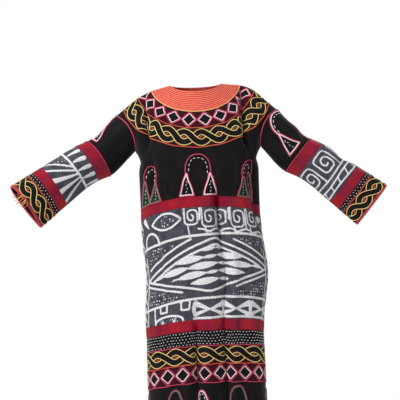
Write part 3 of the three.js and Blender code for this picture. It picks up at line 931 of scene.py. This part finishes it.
def feet_ground(x, y, arches):
    """How far inside the nearest filled foot each place lies."""
    inside = np.full(x.shape, FAR_OUTSIDE)
    for at, wide, tall, base, foot, foot_tall in arches:
        for corners in arch_shape(wide, tall, foot, foot_tall)[1]:
            ground = np.stack([at + corners[:, 0], base - corners[:, 1]], 1)
            inside = np.maximum(inside, shaped(ground, x, y))
    return inside


STITCH_ROWS = (5, 15, 24.5, 34, 43)
TWIST = {"eyes": 9, "middle": 80, "swing": 17, "wide": 20.5}
TWIST_BAND = 61
DIAMONDS = {"cells": 11, "middle": 142, "band": 60}
ARCH_ROWS = {
    "front": ((-296, 52, 134), (-145, 54, 137), (-14, 46, 129), (140, 62, 142), (290, 52, 134)),
    "back": ((-299, 52, 134), (-150, 54, 136), (5, 48, 130), (160, 56, 138), (305, 52, 134)),
}
LOW_ARCH = {"base": 330, "foot": 34, "foot_tall": 58}
# The arch that stands nearer the middle than this is the pale one with a dotted line in it.
AT_CENTRE = 20
RULES = ((49, 3.2, PINK), (111, 3.5, ORANGE), (173, 3.2, PINK))

BINDING_THICK = 3.0
binding, tree, shader = new_finish("binding", roughness=0.5, sheen_weight=0.3, sheen_roughness=0.4)
on_cut = node(tree, "UVMap", uv_map="cut")
wraps = mottle(tree, stretched(tree, on_cut, 1, 0.25, 1), 0.0022, 3.0, 0.6)
# Painted shade: the red is a darker copy of itself in the hollows between the wraps, where the relief is low.
bound = dyed(tree, stepped(tree, wraps, 0.35, 0.6), (0.32, 0.008, 0.03), (0.56, 0.02, 0.05))
surfaced(tree, shader, bound, wraps, 0.0008)

for side, hand in (("front", 1), ("back", -1)):
    sheet = body_sheet(side, HEM_TOP, BORDER, columns=144)
    x, y = sheet[2][..., 0], -sheet[2][..., 1]
    width = np.ptp(x[0])
    red = np.maximum(
        twist_ground(x, y, width, **TWIST, band=TWIST_BAND),
        diamond_ground(x, y, width, **DIAMONDS),
    )
    filled = [(*row, *LOW_ARCH.values()) for row in ARCH_ROWS[side] if abs(row[0]) > AT_CENTRE]
    marked = (*sheet, red, feet_ground(x, y, filled))
    border = stitch_up(f"velvet_border_{side}", [marked], VELVET_THICK, velvet, VELVET_MARKS)
    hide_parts(f"border_{side}")

    work = new_work(f"border_cords_{side}")
    twist(work, sheet, width, **TWIST, hand=hand, thick=2.8)
    for at, thick, cord in RULES:
        couch(work, sheet, [(-width / 2, at), (width / 2, at)], thick, cord)
    diamonds(work, sheet, width, **DIAMONDS)
    for at, wide, tall in ARCH_ROWS[side]:
        plain = abs(at) < AT_CENTRE
        inner = ROSE if plain else SAGE
        arch(work, sheet, at, wide, tall, **LOW_ARCH, outline=PINK, inner=inner, lined=True, dots=plain)
    stitches = new_work(f"border_stitches_{side}")
    running_stitches(stitches, sheet, width, STITCH_ROWS, 12.0, 2.4, 2.8)
    edge = body_sheet(side, HEM, HEM_TOP, cell=2.7, columns=144)
    hem = stitch_up(f"bound_hem_{side}", [edge], BINDING_THICK, binding)
    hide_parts(f"hem_binding_{side}")
    declare_cut([sheet])

# ------------------------------------------------------------------ The sleeves
# Two tubes, alike but for their drawing: velvet at the top, a satin band, dyed cotton on the
# forearm, a second band, and a velvet cuff with a row of stitches and a twist, bound at the wrist.
# Each is cut square and set into a slanted armhole, so the cloth bends under the arm.
#
# The armhole, and each cuff's centre. A row gives its share of the sleeve's length, the half
# height, the half depth, how far the fullest part lies above the middle, and the sag.
ARM_TOP, ARM_LOW = np.array([278.0, 0, -93]), np.array([215.0, 0, -215.5])
CUT_FRONT, CUT_BACK = 22, 12
CUFF_CENTRE = {"right": np.array([-578.0, -140, -395]), "left": np.array([587.0, -31, -433])}
SLEEVE = np.array([
    (0, np.linalg.norm(ARM_TOP - ARM_LOW) / 2, 62, 0, 0),
    (0.1, 68, 60, 0.05, 7),
    (0.28, 72, 55, 0.2, 14),
    (0.42, 71, 52, 0.26, 3),
    (0.5, 71, 50, 0.28, 0),
    (0.73, 77, 46, 0.32, 0),
    (1, 85, 43, 0.32, 0),
])
SLEEVE_TURN, ARM_LENGTH, ARM_ROUND = 0.2, 444, 66
DENTS = {"left": (0.24, 0.6), "right": (0.22,)}
# The share of the length and the degrees from the top (front above 0) at each end of a crease,
# then its depth and half width. They fan out from the elbow and from under the arm.
SLEEVE_CREASES = {
    "right": [
        (0.04, 150, 0.24, 105, 5, 13),
        (0.05, 100, 0.26, 78, 3, 12),
        (0.02, 40, 0.22, 30, 3, 12),
        (0.16, 20, 0.31, 55, 4, 12),
        (0.30, 150, 0.47, 96, 4, 13),
        (0.40, 20, 0.62, 40, 3, 14),
        (0.46, 120, 0.74, 132, 4, 15),
        (0.74, 60, 0.98, 66, 3, 16),
        (0.78, 130, 1.0, 140, 4, 15),
        (0.05, -150, 0.24, -100, 5, 14),
        (0.18, -40, 0.36, -90, 4, 14),
        (0.42, -60, 0.66, -80, 4, 16),
        (0.70, -120, 1.0, -110, 4, 16),
    ],
    "left": [
        (0.03, 140, 0.22, 96, 5, 13),
        (0.06, 60, 0.24, 40, 3, 12),
        (0.18, 160, 0.33, 100, 4, 12),
        (0.22, 15, 0.33, 60, 4, 11),
        (0.36, 140, 0.56, 120, 4, 14),
        (0.42, 30, 0.52, 70, 4, 11),
        (0.56, 20, 0.66, 64, 4, 12),
        (0.60, 150, 0.80, 120, 4, 14),
        (0.80, 50, 1.0, 44, 3, 15),
        (0.82, 120, 1.0, 128, 4, 15),
        (0.05, -140, 0.26, -96, 5, 14),
        (0.20, -50, 0.38, -100, 4, 14),
        (0.45, -50, 0.70, -70, 4, 16),
        (0.72, -130, 1.0, -120, 4, 16),
    ],
}
SLEEVE_CUTS = {
    "upper": 0,
    "upper_band": 0.31,
    "forearm": 0.408,
    "lower_band": 0.73,
    "cuff": 0.812,
    "cuff_binding": 0.987,
    "wrist": 1,
}


def sleeve_base(arm, along, angle):
    """along from the armhole to the wrist, angle from the top over the front (below 0: over the back)."""
    along, angle = np.broadcast_arrays(np.asarray(along, float), np.asarray(angle, float))
    hand = 1 if arm == "left" else -1
    mirror = np.array([hand, 1, 1])
    start = (ARM_TOP + ARM_LOW) / 2 * mirror
    seam_up = unit(ARM_TOP - ARM_LOW)
    seam_out = np.array([seam_up[2], 0, -seam_up[0]])
    axis = unit(CUFF_CENTRE[arm] - start)
    square_up = unit(np.array([0, 0, 1]) - axis * axis[2])
    turned = smooth(along, 0, SLEEVE_TURN)[..., None]
    up = unit(seam_up * mirror * (1 - turned) + square_up * turned)
    out = unit(seam_out * mirror * (1 - turned) + axis * turned)
    forward = unit(np.cross(out, up) * hand)
    height, depth, hang, sag = (
        through(SLEEVE[:, 0], SLEEVE[:, k], along)[..., None] for k in (1, 2, 3, 4)
    )
    bulge, rise = np.sin(angle)[..., None], np.cos(angle)[..., None]
    cut = np.where(bulge > 0, CUT_FRONT, CUT_BACK) * (1 - turned)
    point = start + (CUFF_CENTRE[arm] - start) * along[..., None]
    point = point + up * (height * rise - sag) + forward * depth * bulge * (1 + hang * rise)
    return point - out * cut * bulge * bulge


def sleeve_dip(arm, along, angle):
    along, angle = np.broadcast_arrays(np.asarray(along, float), np.asarray(angle, float))
    angle = (angle + pi) % (2 * pi) - pi
    depth = np.zeros(along.shape)
    for at in DENTS[arm]:
        depth += 8 * np.exp(-(((along - at) / 0.06) ** 2) - (angle / 0.9) ** 2)
    for from_along, from_deg, to_along, to_deg, deep, spread in SLEEVE_CREASES[arm]:
        start = np.array([from_along * ARM_LENGTH, np.radians(from_deg) * ARM_ROUND])
        end = np.array([to_along * ARM_LENGTH, np.radians(to_deg) * ARM_ROUND])
        here = np.stack([along * ARM_LENGTH, angle * ARM_ROUND], -1)
        length = np.linalg.norm(end - start)
        way = (end - start) / length
        on = np.clip((here - start) @ way, 0, length)
        off = np.linalg.norm(here - start - on[..., None] * way, axis=-1) / spread
        depth += deep * np.exp(-(off**2)) * smooth(on, 0, length / 3) * smooth(length - on, 0, length / 3)
    return depth


def sleeve_sheet(arm, start, end, cell=5.0, columns=96, turned=0):
    """The tube of a sleeve between two shares of its length, opened out from its underarm seam, or
    from a place turned some columns away from it."""
    along = np.linspace(start, end, max(2, round((end - start) * ARM_LENGTH / cell)) + 1)[:, None]
    angle = (np.linspace(-pi, pi, columns + 1) + turned * 2 * pi / columns)[None, :]
    middle = (ARM_TOP + ARM_LOW) / 2 * np.array([1 if arm == "left" else -1, 1, 1])

    def from_arm(points):
        line = CUFF_CENTRE[arm] - middle
        reach = (points - middle) @ line / (line @ line)
        return points - middle - reach[..., None] * line

    points, facing = lay_out(
        lambda a, b: sleeve_base(arm, a, b), along, angle, lambda a, b: sleeve_dip(arm, a, b), from_arm
    )
    span = along_row(points[len(points) // 2])
    return points, facing, np.stack(np.broadcast_arrays(span[None, :], (start - along) * ARM_LENGTH), -1)


# The forearms' drawings, across from the top of the arm (front above 0) and down from the band.
SUN = {"bar": 55, "foot": 146, "rays": 5, "spread": 43, "tooth": 34}
SUN_HUBS = (-112, 104)
COIL = {"pitch": 83, "wide": 62, "top": 10, "foot": 92}
ARM_HALF = 230


def sun_figures():
    """Rays that spread from a bar round the arm, two thin ones and then wedges, with a row of blunt
    teeth above the bar."""
    x = np.linspace(-ARM_HALF, ARM_HALF, 13)
    strokes = run_of(np.stack([x, SUN["bar"] + 2.5 * np.sin(x / 38)], 1), 3.8)
    for hub in SUN_HUBS:
        for k in range(SUN["rays"]):
            near = (hub - 26 + 15 * k, SUN["bar"] + 4)
            far = (hub - 110 + SUN["spread"] * k, SUN["foot"])
            strokes += bars([near, far], 3.1) if k < 2 else wedge(*far, *near, 8.5 - (k == 4) * 3, 2.8)
    for x in range(-204, 220, SUN["tooth"]):
        strokes += [(x + 4, 10, x - 2, SUN["bar"] - 7, 7.5, 6, 2.6)]
    return strokes


def coil(x, half):
    """A square coil of one line that rises from the long line at its foot and winds inwards."""
    turns = (
        (0, 1), (0.02, 0.5), (0.06, 0.06), (0.5, 0), (0.94, 0.06), (1, 0.4), (0.95, 0.74),
        (0.62, 0.8), (0.28, 0.74), (0.23, 0.46), (0.32, 0.25), (0.6, 0.23), (0.74, 0.38),
        (0.66, 0.56), (0.48, 0.54),
    )
    deep = COIL["foot"] - COIL["top"]
    return run_of([(x + a * COIL["wide"], COIL["top"] + b * deep) for a, b in turns], half)


def meander_figures():
    """Square coils on a long line, over double lines with short slanted rungs."""
    strokes = [stroke for x in range(-208, 208, COIL["pitch"]) for stroke in coil(x, 2.7)]
    x = np.linspace(-ARM_HALF, ARM_HALF, 25)
    for level, wave in ((COIL["foot"], 2), (110, 3), (133, 2)):
        strokes += run_of(np.stack([x, level + wave * np.sin(x / 30 + level)], 1), 2.6)
    for x in range(-214, 226, 38):
        strokes += bars([(x, 111), (x + 10, 132)], 2.1)
    return strokes


FOREARM = {
    "right": (
        sun_figures(),
        [[(hub - 158, 142), (hub - 110, 66), (hub - 42, 66), (hub - 116, 142)] for hub in SUN_HUBS],
    ),
    "left": (meander_figures(), [[(-ARM_HALF, 98), (ARM_HALF, 98), (ARM_HALF, 104), (-ARM_HALF, 104)]]),
}
SLEEVE_ARCH = {"right": -44, "left": 39}
CUFF_TWIST = {"middle": 49, "swing": 16.5, "wide": 19}
CUFF_EYES, CUFF_TURNED = 7, {"right": 0, "left": -4}
CUFF_BAND, CUFF_RULES = 54, ((19.5, 3.4, ORANGE), (75.5, 2.8, ORANGE))
# Loose ends at the right wrist: the place round the cuff, then how far each loop stands off and hangs.
LOOSE_THREADS = ((60, 28, 9), (66, 26, 16), (73, 23, 20), (81, 18, 21), (90, 12, 18))


def piped(work, points, facing, thick, cord):
    """Piping along a seam, through one row of the cloth's points and back to its start."""
    row = points + facing * thick * 0.35
    row[-1] = row[0]
    thread_through(work, row, thick / 2, cord)


for arm, hand in (("right", -1), ("left", 1)):
    names = list(SLEEVE_CUTS)
    edges = {name: (SLEEVE_CUTS[name], SLEEVE_CUTS[after]) for name, after in zip(names, names[1:])}
    sheets = {
        name: sleeve_sheet(arm, *edge, cell=4.0 if name == "forearm" else 5.0, columns=120)
        for name, edge in edges.items()
    }

    sheet = sheets["upper"]
    x, y = sheet[2][..., 0], -sheet[2][..., 1]
    plain = x * 0 + UNMARKED
    marked = (*sheet, plain, plain)
    upper = stitch_up(f"velvet_upper_{arm}", [marked], VELVET_THICK, velvet, VELVET_MARKS)
    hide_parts(f"upper_{arm}")
    work = new_work(f"sleeve_cords_{arm}")
    arch(work, sheet, SLEEVE_ARCH[arm], 108, 112, 116, 52, 66, PINK, ROSE, lined=True)
    for name in ("upper", "upper_band"):
        piped(work, sheets[name][0][0], sheets[name][1][0], 4.4 if name == "upper" else 3.0, PINK)
    declare_cut([sheet])

    for name in ("upper_band", "lower_band"):
        band = stitch_up(f"satin_{name}_{arm}", [sheets[name]], SATIN_THICK, satin)
        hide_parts(f"{name}_{arm}")
        declare_cut([sheets[name]])

    sheet = sheets["forearm"]
    marked = (*sheet, *resist_marks(sheet[2], *FOREARM[arm]))
    forearm = stitch_up(
        f"dyed_forearm_{arm}", [marked], COTTON_THICK, resist_cotton, COTTON_MARKS
    )
    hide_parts(f"forearm_{arm}")
    declare_cut([sheet])

    sheet = sleeve_sheet(arm, *edges["cuff"], columns=120, turned=CUFF_TURNED[arm])
    x, y = sheet[2][..., 0], -sheet[2][..., 1]
    width = np.ptp(x[0])
    red = twist_ground(x, y, width, CUFF_EYES, **CUFF_TWIST, band=CUFF_BAND)
    marked = (*sheet, red, x * 0 + UNMARKED)
    cuff = stitch_up(f"velvet_cuff_{arm}", [marked], VELVET_THICK, velvet, VELVET_MARKS)
    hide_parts(f"cuff_{arm}")
    work = new_work(f"cuff_cords_{arm}")
    twist(work, sheet, width, CUFF_EYES, **CUFF_TWIST, hand=-hand, thick=2.7)
    for at, thick, cord in CUFF_RULES:
        couch(work, sheet, [(-width / 2, at), (width / 2, at)], thick, cord)
    running_stitches(work, sheet, width, (4.5, 13.5), 12, 2.2, 2.5)
    wrist = stitch_up(f"bound_wrist_{arm}", [sheets["cuff_binding"]], BINDING_THICK, binding)
    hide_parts(f"cuff_binding_{arm}")
    if arm == "right":
        for k, (at, far, low) in enumerate(LOOSE_THREADS):
            root, out = on_cloth(sheet, np.array([at]), np.array([77.0]))
            t = np.linspace(0, 1, 15)[:, None]
            loop = root + out * 5 * np.sin(pi * t) + np.array([-far, -9, -low]) * np.sin(pi * t)
            loop += np.array([3.0 + k, 0, 5 - k]) * np.sin(2 * pi * t)
            thread_through(work, loop, 0.9, YELLOW if k % 2 else ORANGE)
    declare_cut([sheet])

# ------------------------------------------------------------------ The bodice
# Black velvet, front and back, from the coiled collar and the armholes down to the waist band. Two
# worked rows run round the neck like the rings of a yoke, over the shoulders to the back, and
# a row of arches stands on the waist band.
#
# The yoke's rings, from the neck out: where each crosses the shoulder, then its centre front and back.
RINGS = [
    (86, 5, 58, -23, 60, 2),
    (153, -12, 94, -95, 90, -62),
    (199, -34, 111, -151, 103, -118),
    (251, -72, 126, -218, 109, -184),
]
RING_REACH = (0, 70, 130, 200, 278)
RIDGE = 0.2
YOKE_AT_UNDERARM = 56


def over_ridge(c):
    return (np.hypot(c, RIDGE) - RIDGE) / (np.hypot(1, RIDGE) - RIDGE)


def yoke_base(side, turn, out):
    """turn in degrees from the centre to 90 at the left shoulder, out from 0 at the neck to 4."""
    turn, out = np.broadcast_arrays(np.asarray(turn, float), np.asarray(out, float))
    facing = -1 if side == "front" else 1
    away, hand = np.abs(turn), np.where(turn < 0, -1.0, 1.0)
    down = np.clip((90 - away) / (90 - YOKE_AT_UNDERARM), 0, 1)
    edge = sleeve_base("left", 0 * down, -facing * pi * down)
    edge = edge * np.stack([hand, 1 + 0 * hand, 1 + 0 * hand], -1)
    low = body_base(side, UNDERARM + 0 * out, np.clip(turn / YOKE_AT_UNDERARM, -1, 1))
    aside, forward = on_oval(np.radians(turn), 2)
    knots = []
    for half, side_z, front_y, front_z, back_y, back_z in RINGS:
        depth, centre_z = (front_y, front_z) if facing < 0 else (back_y, back_z)
        z = side_z + (centre_z - side_z) * over_ridge(forward)
        knots.append(np.stack([half * aside, facing * depth * forward, z], -1))
    knots.append(np.where((away > YOKE_AT_UNDERARM)[..., None], edge, low))
    knots = [2 * knots[0] - knots[1], *knots, 2 * knots[-1] - knots[-2]]
    spans = []
    for i in range(4):
        p0, p1, p2, p3 = knots[i : i + 4]
        d0, d1, d2 = (
            np.sqrt(np.linalg.norm(b - a, axis=-1, keepdims=True)) for a, b in ((p0, p1), (p1, p2), (p2, p3))
        )
        t1 = ((p1 - p0) / d0 - (p2 - p0) / (d0 + d1) + (p2 - p1) / d1) * d1
        t2 = ((p2 - p1) / d1 - (p3 - p1) / (d1 + d2) + (p3 - p2) / d2) * d1
        t = out[..., None] - i
        squared, cubed = 3 * (p2 - p1) - 2 * t1 - t2, 2 * (p1 - p2) + t1 + t2
        spans.append(p1 + t * t1 + t**2 * squared + t**3 * cubed)
    which = np.clip(np.floor(out), 0, 3)[..., None]
    return np.select([which == i for i in range(4)], spans)


def yoke_sheet(side, outs, turns, measured_at):
    """The yoke at these rings and turns, its cut measured along the ring measured_at."""

    def rings(at, round_neck):
        return lay_out(
            lambda a, b: yoke_base(side, b, a), at[:, None], round_neck[None, :],
            lambda a, b: body_dip(yoke_base(side, b, a), side), from_body, side
        )

    points, facing = rings(outs, turns)
    near = rings(np.array([measured_at - 0.01, measured_at, measured_at + 0.01]), turns)[0]
    down = -np.interp(outs, range(5), RING_REACH)
    return points, facing, np.stack(np.broadcast_arrays(along_row(near[1])[None, :], down[:, None]), -1)


def ease_join(points, join, rounds=60, reach=14):
    """Lets the yoke run smoothly into the body where the two were laid out apart."""
    rows = np.exp(-(((np.arange(len(points)) - join) / reach) ** 2) * 2)[:, None, None]
    sides = smooth(1 - np.abs(np.linspace(-1, 1, points.shape[1])), 0.04, 0.22)[None, :, None]
    share = np.where(rows < 0.05, 0, rows) * sides
    for _ in range(rounds):
        eased = points.copy()
        eased[1:-1] = (points[:-2] + 2 * points[1:-1] + points[2:]) / 4
        points = points + (eased - points) * share
    return points


BODY_COLUMNS, SHOULDER_COLUMNS = 150, 34
ROW_OUTS = np.concatenate([np.linspace(1, 2, 14)[:-1], np.linspace(2, 3, 16)[:-1], np.linspace(3, 4, 19)])
FRONT_TURNS = np.concatenate([
    np.linspace(-90, -YOKE_AT_UNDERARM, SHOULDER_COLUMNS + 1)[:-1],
    np.linspace(-YOKE_AT_UNDERARM, YOKE_AT_UNDERARM, BODY_COLUMNS + 1),
    np.linspace(YOKE_AT_UNDERARM, 90, SHOULDER_COLUMNS + 1)[1:],
])
YOKE_TWIST = {"eyes": 12, "middle": 165, "swing": 18.5, "wide": 21}
YOKE_TWIST_BAND = 64
YOKE_DIAMONDS = {"cells": 10, "middle": 101, "band": 58, "first": 0.2}
YOKE_RULES = ((131, 3.4, ORANGE), (199, 3.8, ORANGE))
# The arches' chart leaves out the cloth's first rows below the collar, has the waist seam at WAIST_AT,
# and takes its places across from the row of that number above the seam.
WAIST_AT, CHART_ROWS, ACROSS_ROW = 230, 20, -30
WAIST_ARCH = {"base": 224, "foot": 46, "foot_tall": 72}
WAIST_ARCHES = ((-183, 50, 118), (0, 80, 132), (186, 56, 116))

for side, hand in (("front", 1), ("back", -1)):
    yoke = yoke_sheet(side, ROW_OUTS, FRONT_TURNS, 2)
    body = body_sheet(side, WAIST, UNDERARM, columns=BODY_COLUMNS)
    below = slice(SHOULDER_COLUMNS, SHOULDER_COLUMNS + BODY_COLUMNS + 1)
    whole = ease_join(np.vstack([yoke[0][:-1, below], body[0]]), len(ROW_OUTS) - 1)
    yoke[0][:, below], body[0][:] = whole[: len(ROW_OUTS)], whole[len(ROW_OUTS) - 1 :]
    diamond_row = yoke_sheet(side, np.linspace(1, 2, 15), FRONT_TURNS, 1.5)
    twist_row = yoke_sheet(side, np.linspace(2, 3, 17), FRONT_TURNS, 2.5)

    down = np.interp(ROW_OUTS, range(5), RING_REACH)[:, None]
    along = [row[2][:1, :, 0] for row in (diamond_row, twist_row)]
    widths = [np.ptp(row[2][0, :, 0]) for row in (diamond_row, twist_row)]
    cells = diamond_ground(along[0], down, widths[0], **YOKE_DIAMONDS)
    strands = twist_ground(along[1], down, widths[1], **YOKE_TWIST, band=YOKE_TWIST_BAND)
    red = np.maximum(
        np.where(down < RING_REACH[2], cells, UNMARKED), np.where(down > RING_REACH[2], strands, UNMARKED)
    )
    x = along_row(body[0][ACROSS_ROW])[None, :] + 0 * body[2][..., 0]
    steps = np.linalg.norm(np.diff(body[0], axis=0), axis=-1)
    y = WAIST_AT - np.vstack([np.cumsum(steps[::-1], 0)[::-1], 0 * x[:1]])
    green = feet_ground(x, y, [(*row, *WAIST_ARCH.values()) for row in WAIST_ARCHES if row[0]])
    worked = [(*yoke, red, red * 0 + UNMARKED), (*body, x * 0 + UNMARKED, green)]
    bodice = stitch_up(f"velvet_bodice_{side}", worked, VELVET_THICK, velvet, VELVET_MARKS)
    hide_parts(f"bodice_{side}")

    work = new_work(f"yoke_cords_{side}")
    twist(work, twist_row, widths[1], **YOKE_TWIST, hand=hand, thick=2.9)
    diamonds(work, diamond_row, widths[0], **YOKE_DIAMONDS, tall=0.38)
    for at, thick, cord in YOKE_RULES:
        couch(work, twist_row, [(-widths[1] / 2, at), (widths[1] / 2, at)], thick, cord)
    arches = new_work(f"waist_arches_{side}")
    across = along_row(whole[-1])
    rows = whole[CHART_ROWS:]
    folded = square_to(rows, from_body(rows))
    for at, wide, tall in WAIST_ARCHES:
        column = int(np.argmin(np.abs(across - at)))
        steps = np.linalg.norm(np.diff(rows[:, column], axis=0), axis=-1)
        up = np.concatenate([np.cumsum(steps[::-1])[::-1], [0]])
        places = along_row(rows[ACROSS_ROW])[None, :], (up - WAIST_AT)[:, None]
        chart = (rows, folded, np.stack(np.broadcast_arrays(*places), -1))
        arch(arches, chart, at, wide, tall, **WAIST_ARCH, outline=PINK, inner=SAGE if at else ROSE)
    declare_cut([yoke, body])

# ------------------------------------------------------------------ The collar
# A round collar of coral cord, coiled in eleven turns from the neck out. Each turn is sewn to the last with a
# chain of paler stitches, and a cream cord closes the outer edge.
# The top of each turn is also painted paler as a highlight, and the grooves between the turns are darkened
# with painted shade.
TURNS, TURN_RISE, COLLAR_THICK, CHAIN_PITCH = 11, 2.4, 3.0, 0.0065
CORAL, CORAL_RED = (0.76, 0.055, 0.028), (0.66, 0.034, 0.034)
# The pale is both the stitches' own colour and a painted highlight on each turn's top; the deep red is
# painted shade for the grooves between turns.
CORAL_STITCH_AND_HIGHLIGHT, CORAL_GROOVE_PAINTED_SHADE = (0.93, 0.34, 0.19), (0.42, 0.02, 0.014)
coral_cord, tree, shader = new_finish("coral_cord", roughness=0.7, sheen_weight=0.12, sheen_roughness=0.4)
on_cut = node(tree, "UVMap", uv_map="cut")
split = tree.nodes.new("ShaderNodeSeparateXYZ")
tree.links.new(on_cut, split.inputs[0])
per_metre = TURNS / (RING_REACH[1] / 1000)
over_turn = maths(tree, "PINGPONG", maths(tree, "MULTIPLY", split.outputs["Y"], per_metre), 0.5)
links = maths(tree, "MULTIPLY", split.outputs["X"], 1 / CHAIN_PITCH)
ticks = maths(tree, "FRACT", maths(tree, "ADD", links, over_turn))
chain = stepped(tree, maths(tree, "ABSOLUTE", maths(tree, "SUBTRACT", ticks, 0.5)), 0.16, 0.3)
strands = mottle(tree, stretched(tree, on_cut, 0.25, 1, 1), 0.0014, 2.0, 0.6)
shade = dyed(tree, stepped(tree, mottle(tree, on_cut, 0.02), 0.4, 0.62), CORAL, CORAL_RED)
paler = maths(tree, "MULTIPLY_ADD", chain, 0.22, 0.72)
# Partly real, partly painted: the pale chain stitches lie on a painted highlight along the top of each turn.
stitches_and_crest_highlight = maths(tree, "MULTIPLY", stepped(tree, over_turn, 0.27, 0.45), paler)
shade = dyed(tree, stitches_and_crest_highlight, shade, CORAL_STITCH_AND_HIGHLIGHT)
# Painted shade: the groove between one turn and the next is darkened.
shade = dyed(tree, stepped(tree, over_turn, 0.13, 0.03), shade, CORAL_GROOVE_PAINTED_SHADE)
surfaced(tree, shader, shade, maths(tree, "ADD", maths(tree, "MULTIPLY", chain, 0.7), strands), 0.0007)

outs = np.linspace(0, 1, TURNS * 6 + 1)
ring = np.linspace(-90, 90, 121)
halves = []
for side in ("front", "back"):
    points, facing, flat = yoke_sheet(side, outs, ring, 0.5)
    over = np.sqrt(np.clip(1 - (2 * ((outs * TURNS) % 1) - 1) ** 2, 0, 1))
    points = points + facing * ((over - 1) * TURN_RISE / 2 + 0.6)[:, None, None]
    halves.append((points, facing, flat))
collar = stitch_up("coiled_collar", halves, COLLAR_THICK, coral_cord)
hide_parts("collar")
edge = new_work("collar_edge")
ends = [half[0][-1] + half[1][-1] * 0.4 for half in halves]
thread_through(edge, np.vstack([ends[0], ends[1][::-1][1:]]), 1.2, YELLOW)
(round_front, both_reaches), area = cut_size(halves)
flat = (round_front * 2, both_reaches / 2)

# ------------------------------------------------------------------ The stage
# A pale floor, a white room, soft lamps, and the camera at the height of the waist.
EYE, TILT, LENS = (0, -3.5, -0.393), -2.2, 91.3
FLOOR_LEVEL, FLOOR_RADIUS = -1.42, 1.5
camera = bpy.data.objects.new("camera", bpy.data.cameras.new("camera"))
camera.location = EYE
camera.rotation_euler = (pi / 2, 0, 0)
camera.rotation_euler.rotate_axis("Z", np.radians(TILT))
camera.data.sensor_width = 36
camera.data.lens = LENS
bpy.context.collection.objects.link(camera)
bpy.context.scene.camera = camera

floor = bmesh.new()
level = Matrix.Translation((0, 0, FLOOR_LEVEL))
bmesh.ops.create_circle(floor, cap_ends=True, segments=96, radius=FLOOR_RADIUS, matrix=level)
floor_mesh = bpy.data.meshes.new("floor")
floor.to_mesh(floor_mesh)
floor.free()
plaster, tree, shader = new_finish("plaster", roughness=0.9)
patchy = mottle(tree, node(tree, "TexCoord", out=3), 0.3)
tree.links.new(dyed(tree, patchy, (0.8, 0.79, 0.78), (0.84, 0.835, 0.83)), shader["Base Color"])
floor_mesh.materials.append(plaster)
ground_disc = bpy.data.objects.new("floor", floor_mesh)
bpy.context.collection.objects.link(ground_disc)

studio = bpy.data.worlds.new("studio")
bpy.context.scene.world = studio
studio.use_nodes = True
tree = studio.node_tree
room, paper = tree.nodes["Background"], tree.nodes.new("ShaderNodeBackground")
room.inputs["Color"].default_value, room.inputs["Strength"].default_value = (1, 0.99, 0.98, 1), 0.46
paper.inputs["Color"].default_value, paper.inputs["Strength"].default_value = (1, 1, 1, 1), 1.0
seen = tree.nodes.new("ShaderNodeMixShader")
tree.links.new(node(tree, "LightPath"), seen.inputs[0])
tree.links.new(room.outputs[0], seen.inputs[1])
tree.links.new(paper.outputs[0], seen.inputs[2])
tree.links.new(seen.outputs[0], tree.nodes["World Output"].inputs[0])
LAMPS = (
    # name, place, what it points at, size, power
    ("key", (-2.0, -2.4, 1.5), (0, 0, -0.25), 1.1, 104),
    ("fill", (2.4, -2.8, 0.2), (0, 0, -0.4), 2.4, 11),
    ("behind", (1.2, 3.2, 1.2), (0, 0, -0.5), 2.4, 34),
)
for name, place, aim, size, power in LAMPS:
    lamp = bpy.data.lights.new(name, "AREA")
    lamp.size, lamp.energy = size, power
    standing = bpy.data.objects.new(name, lamp)
    standing.location = place
    standing.rotation_euler = (Vector(aim) - Vector(place)).to_track_quat("-Z", "Y").to_euler()
    bpy.context.collection.objects.link(standing)
bpy.context.scene.view_settings.view_transform = "Standard"
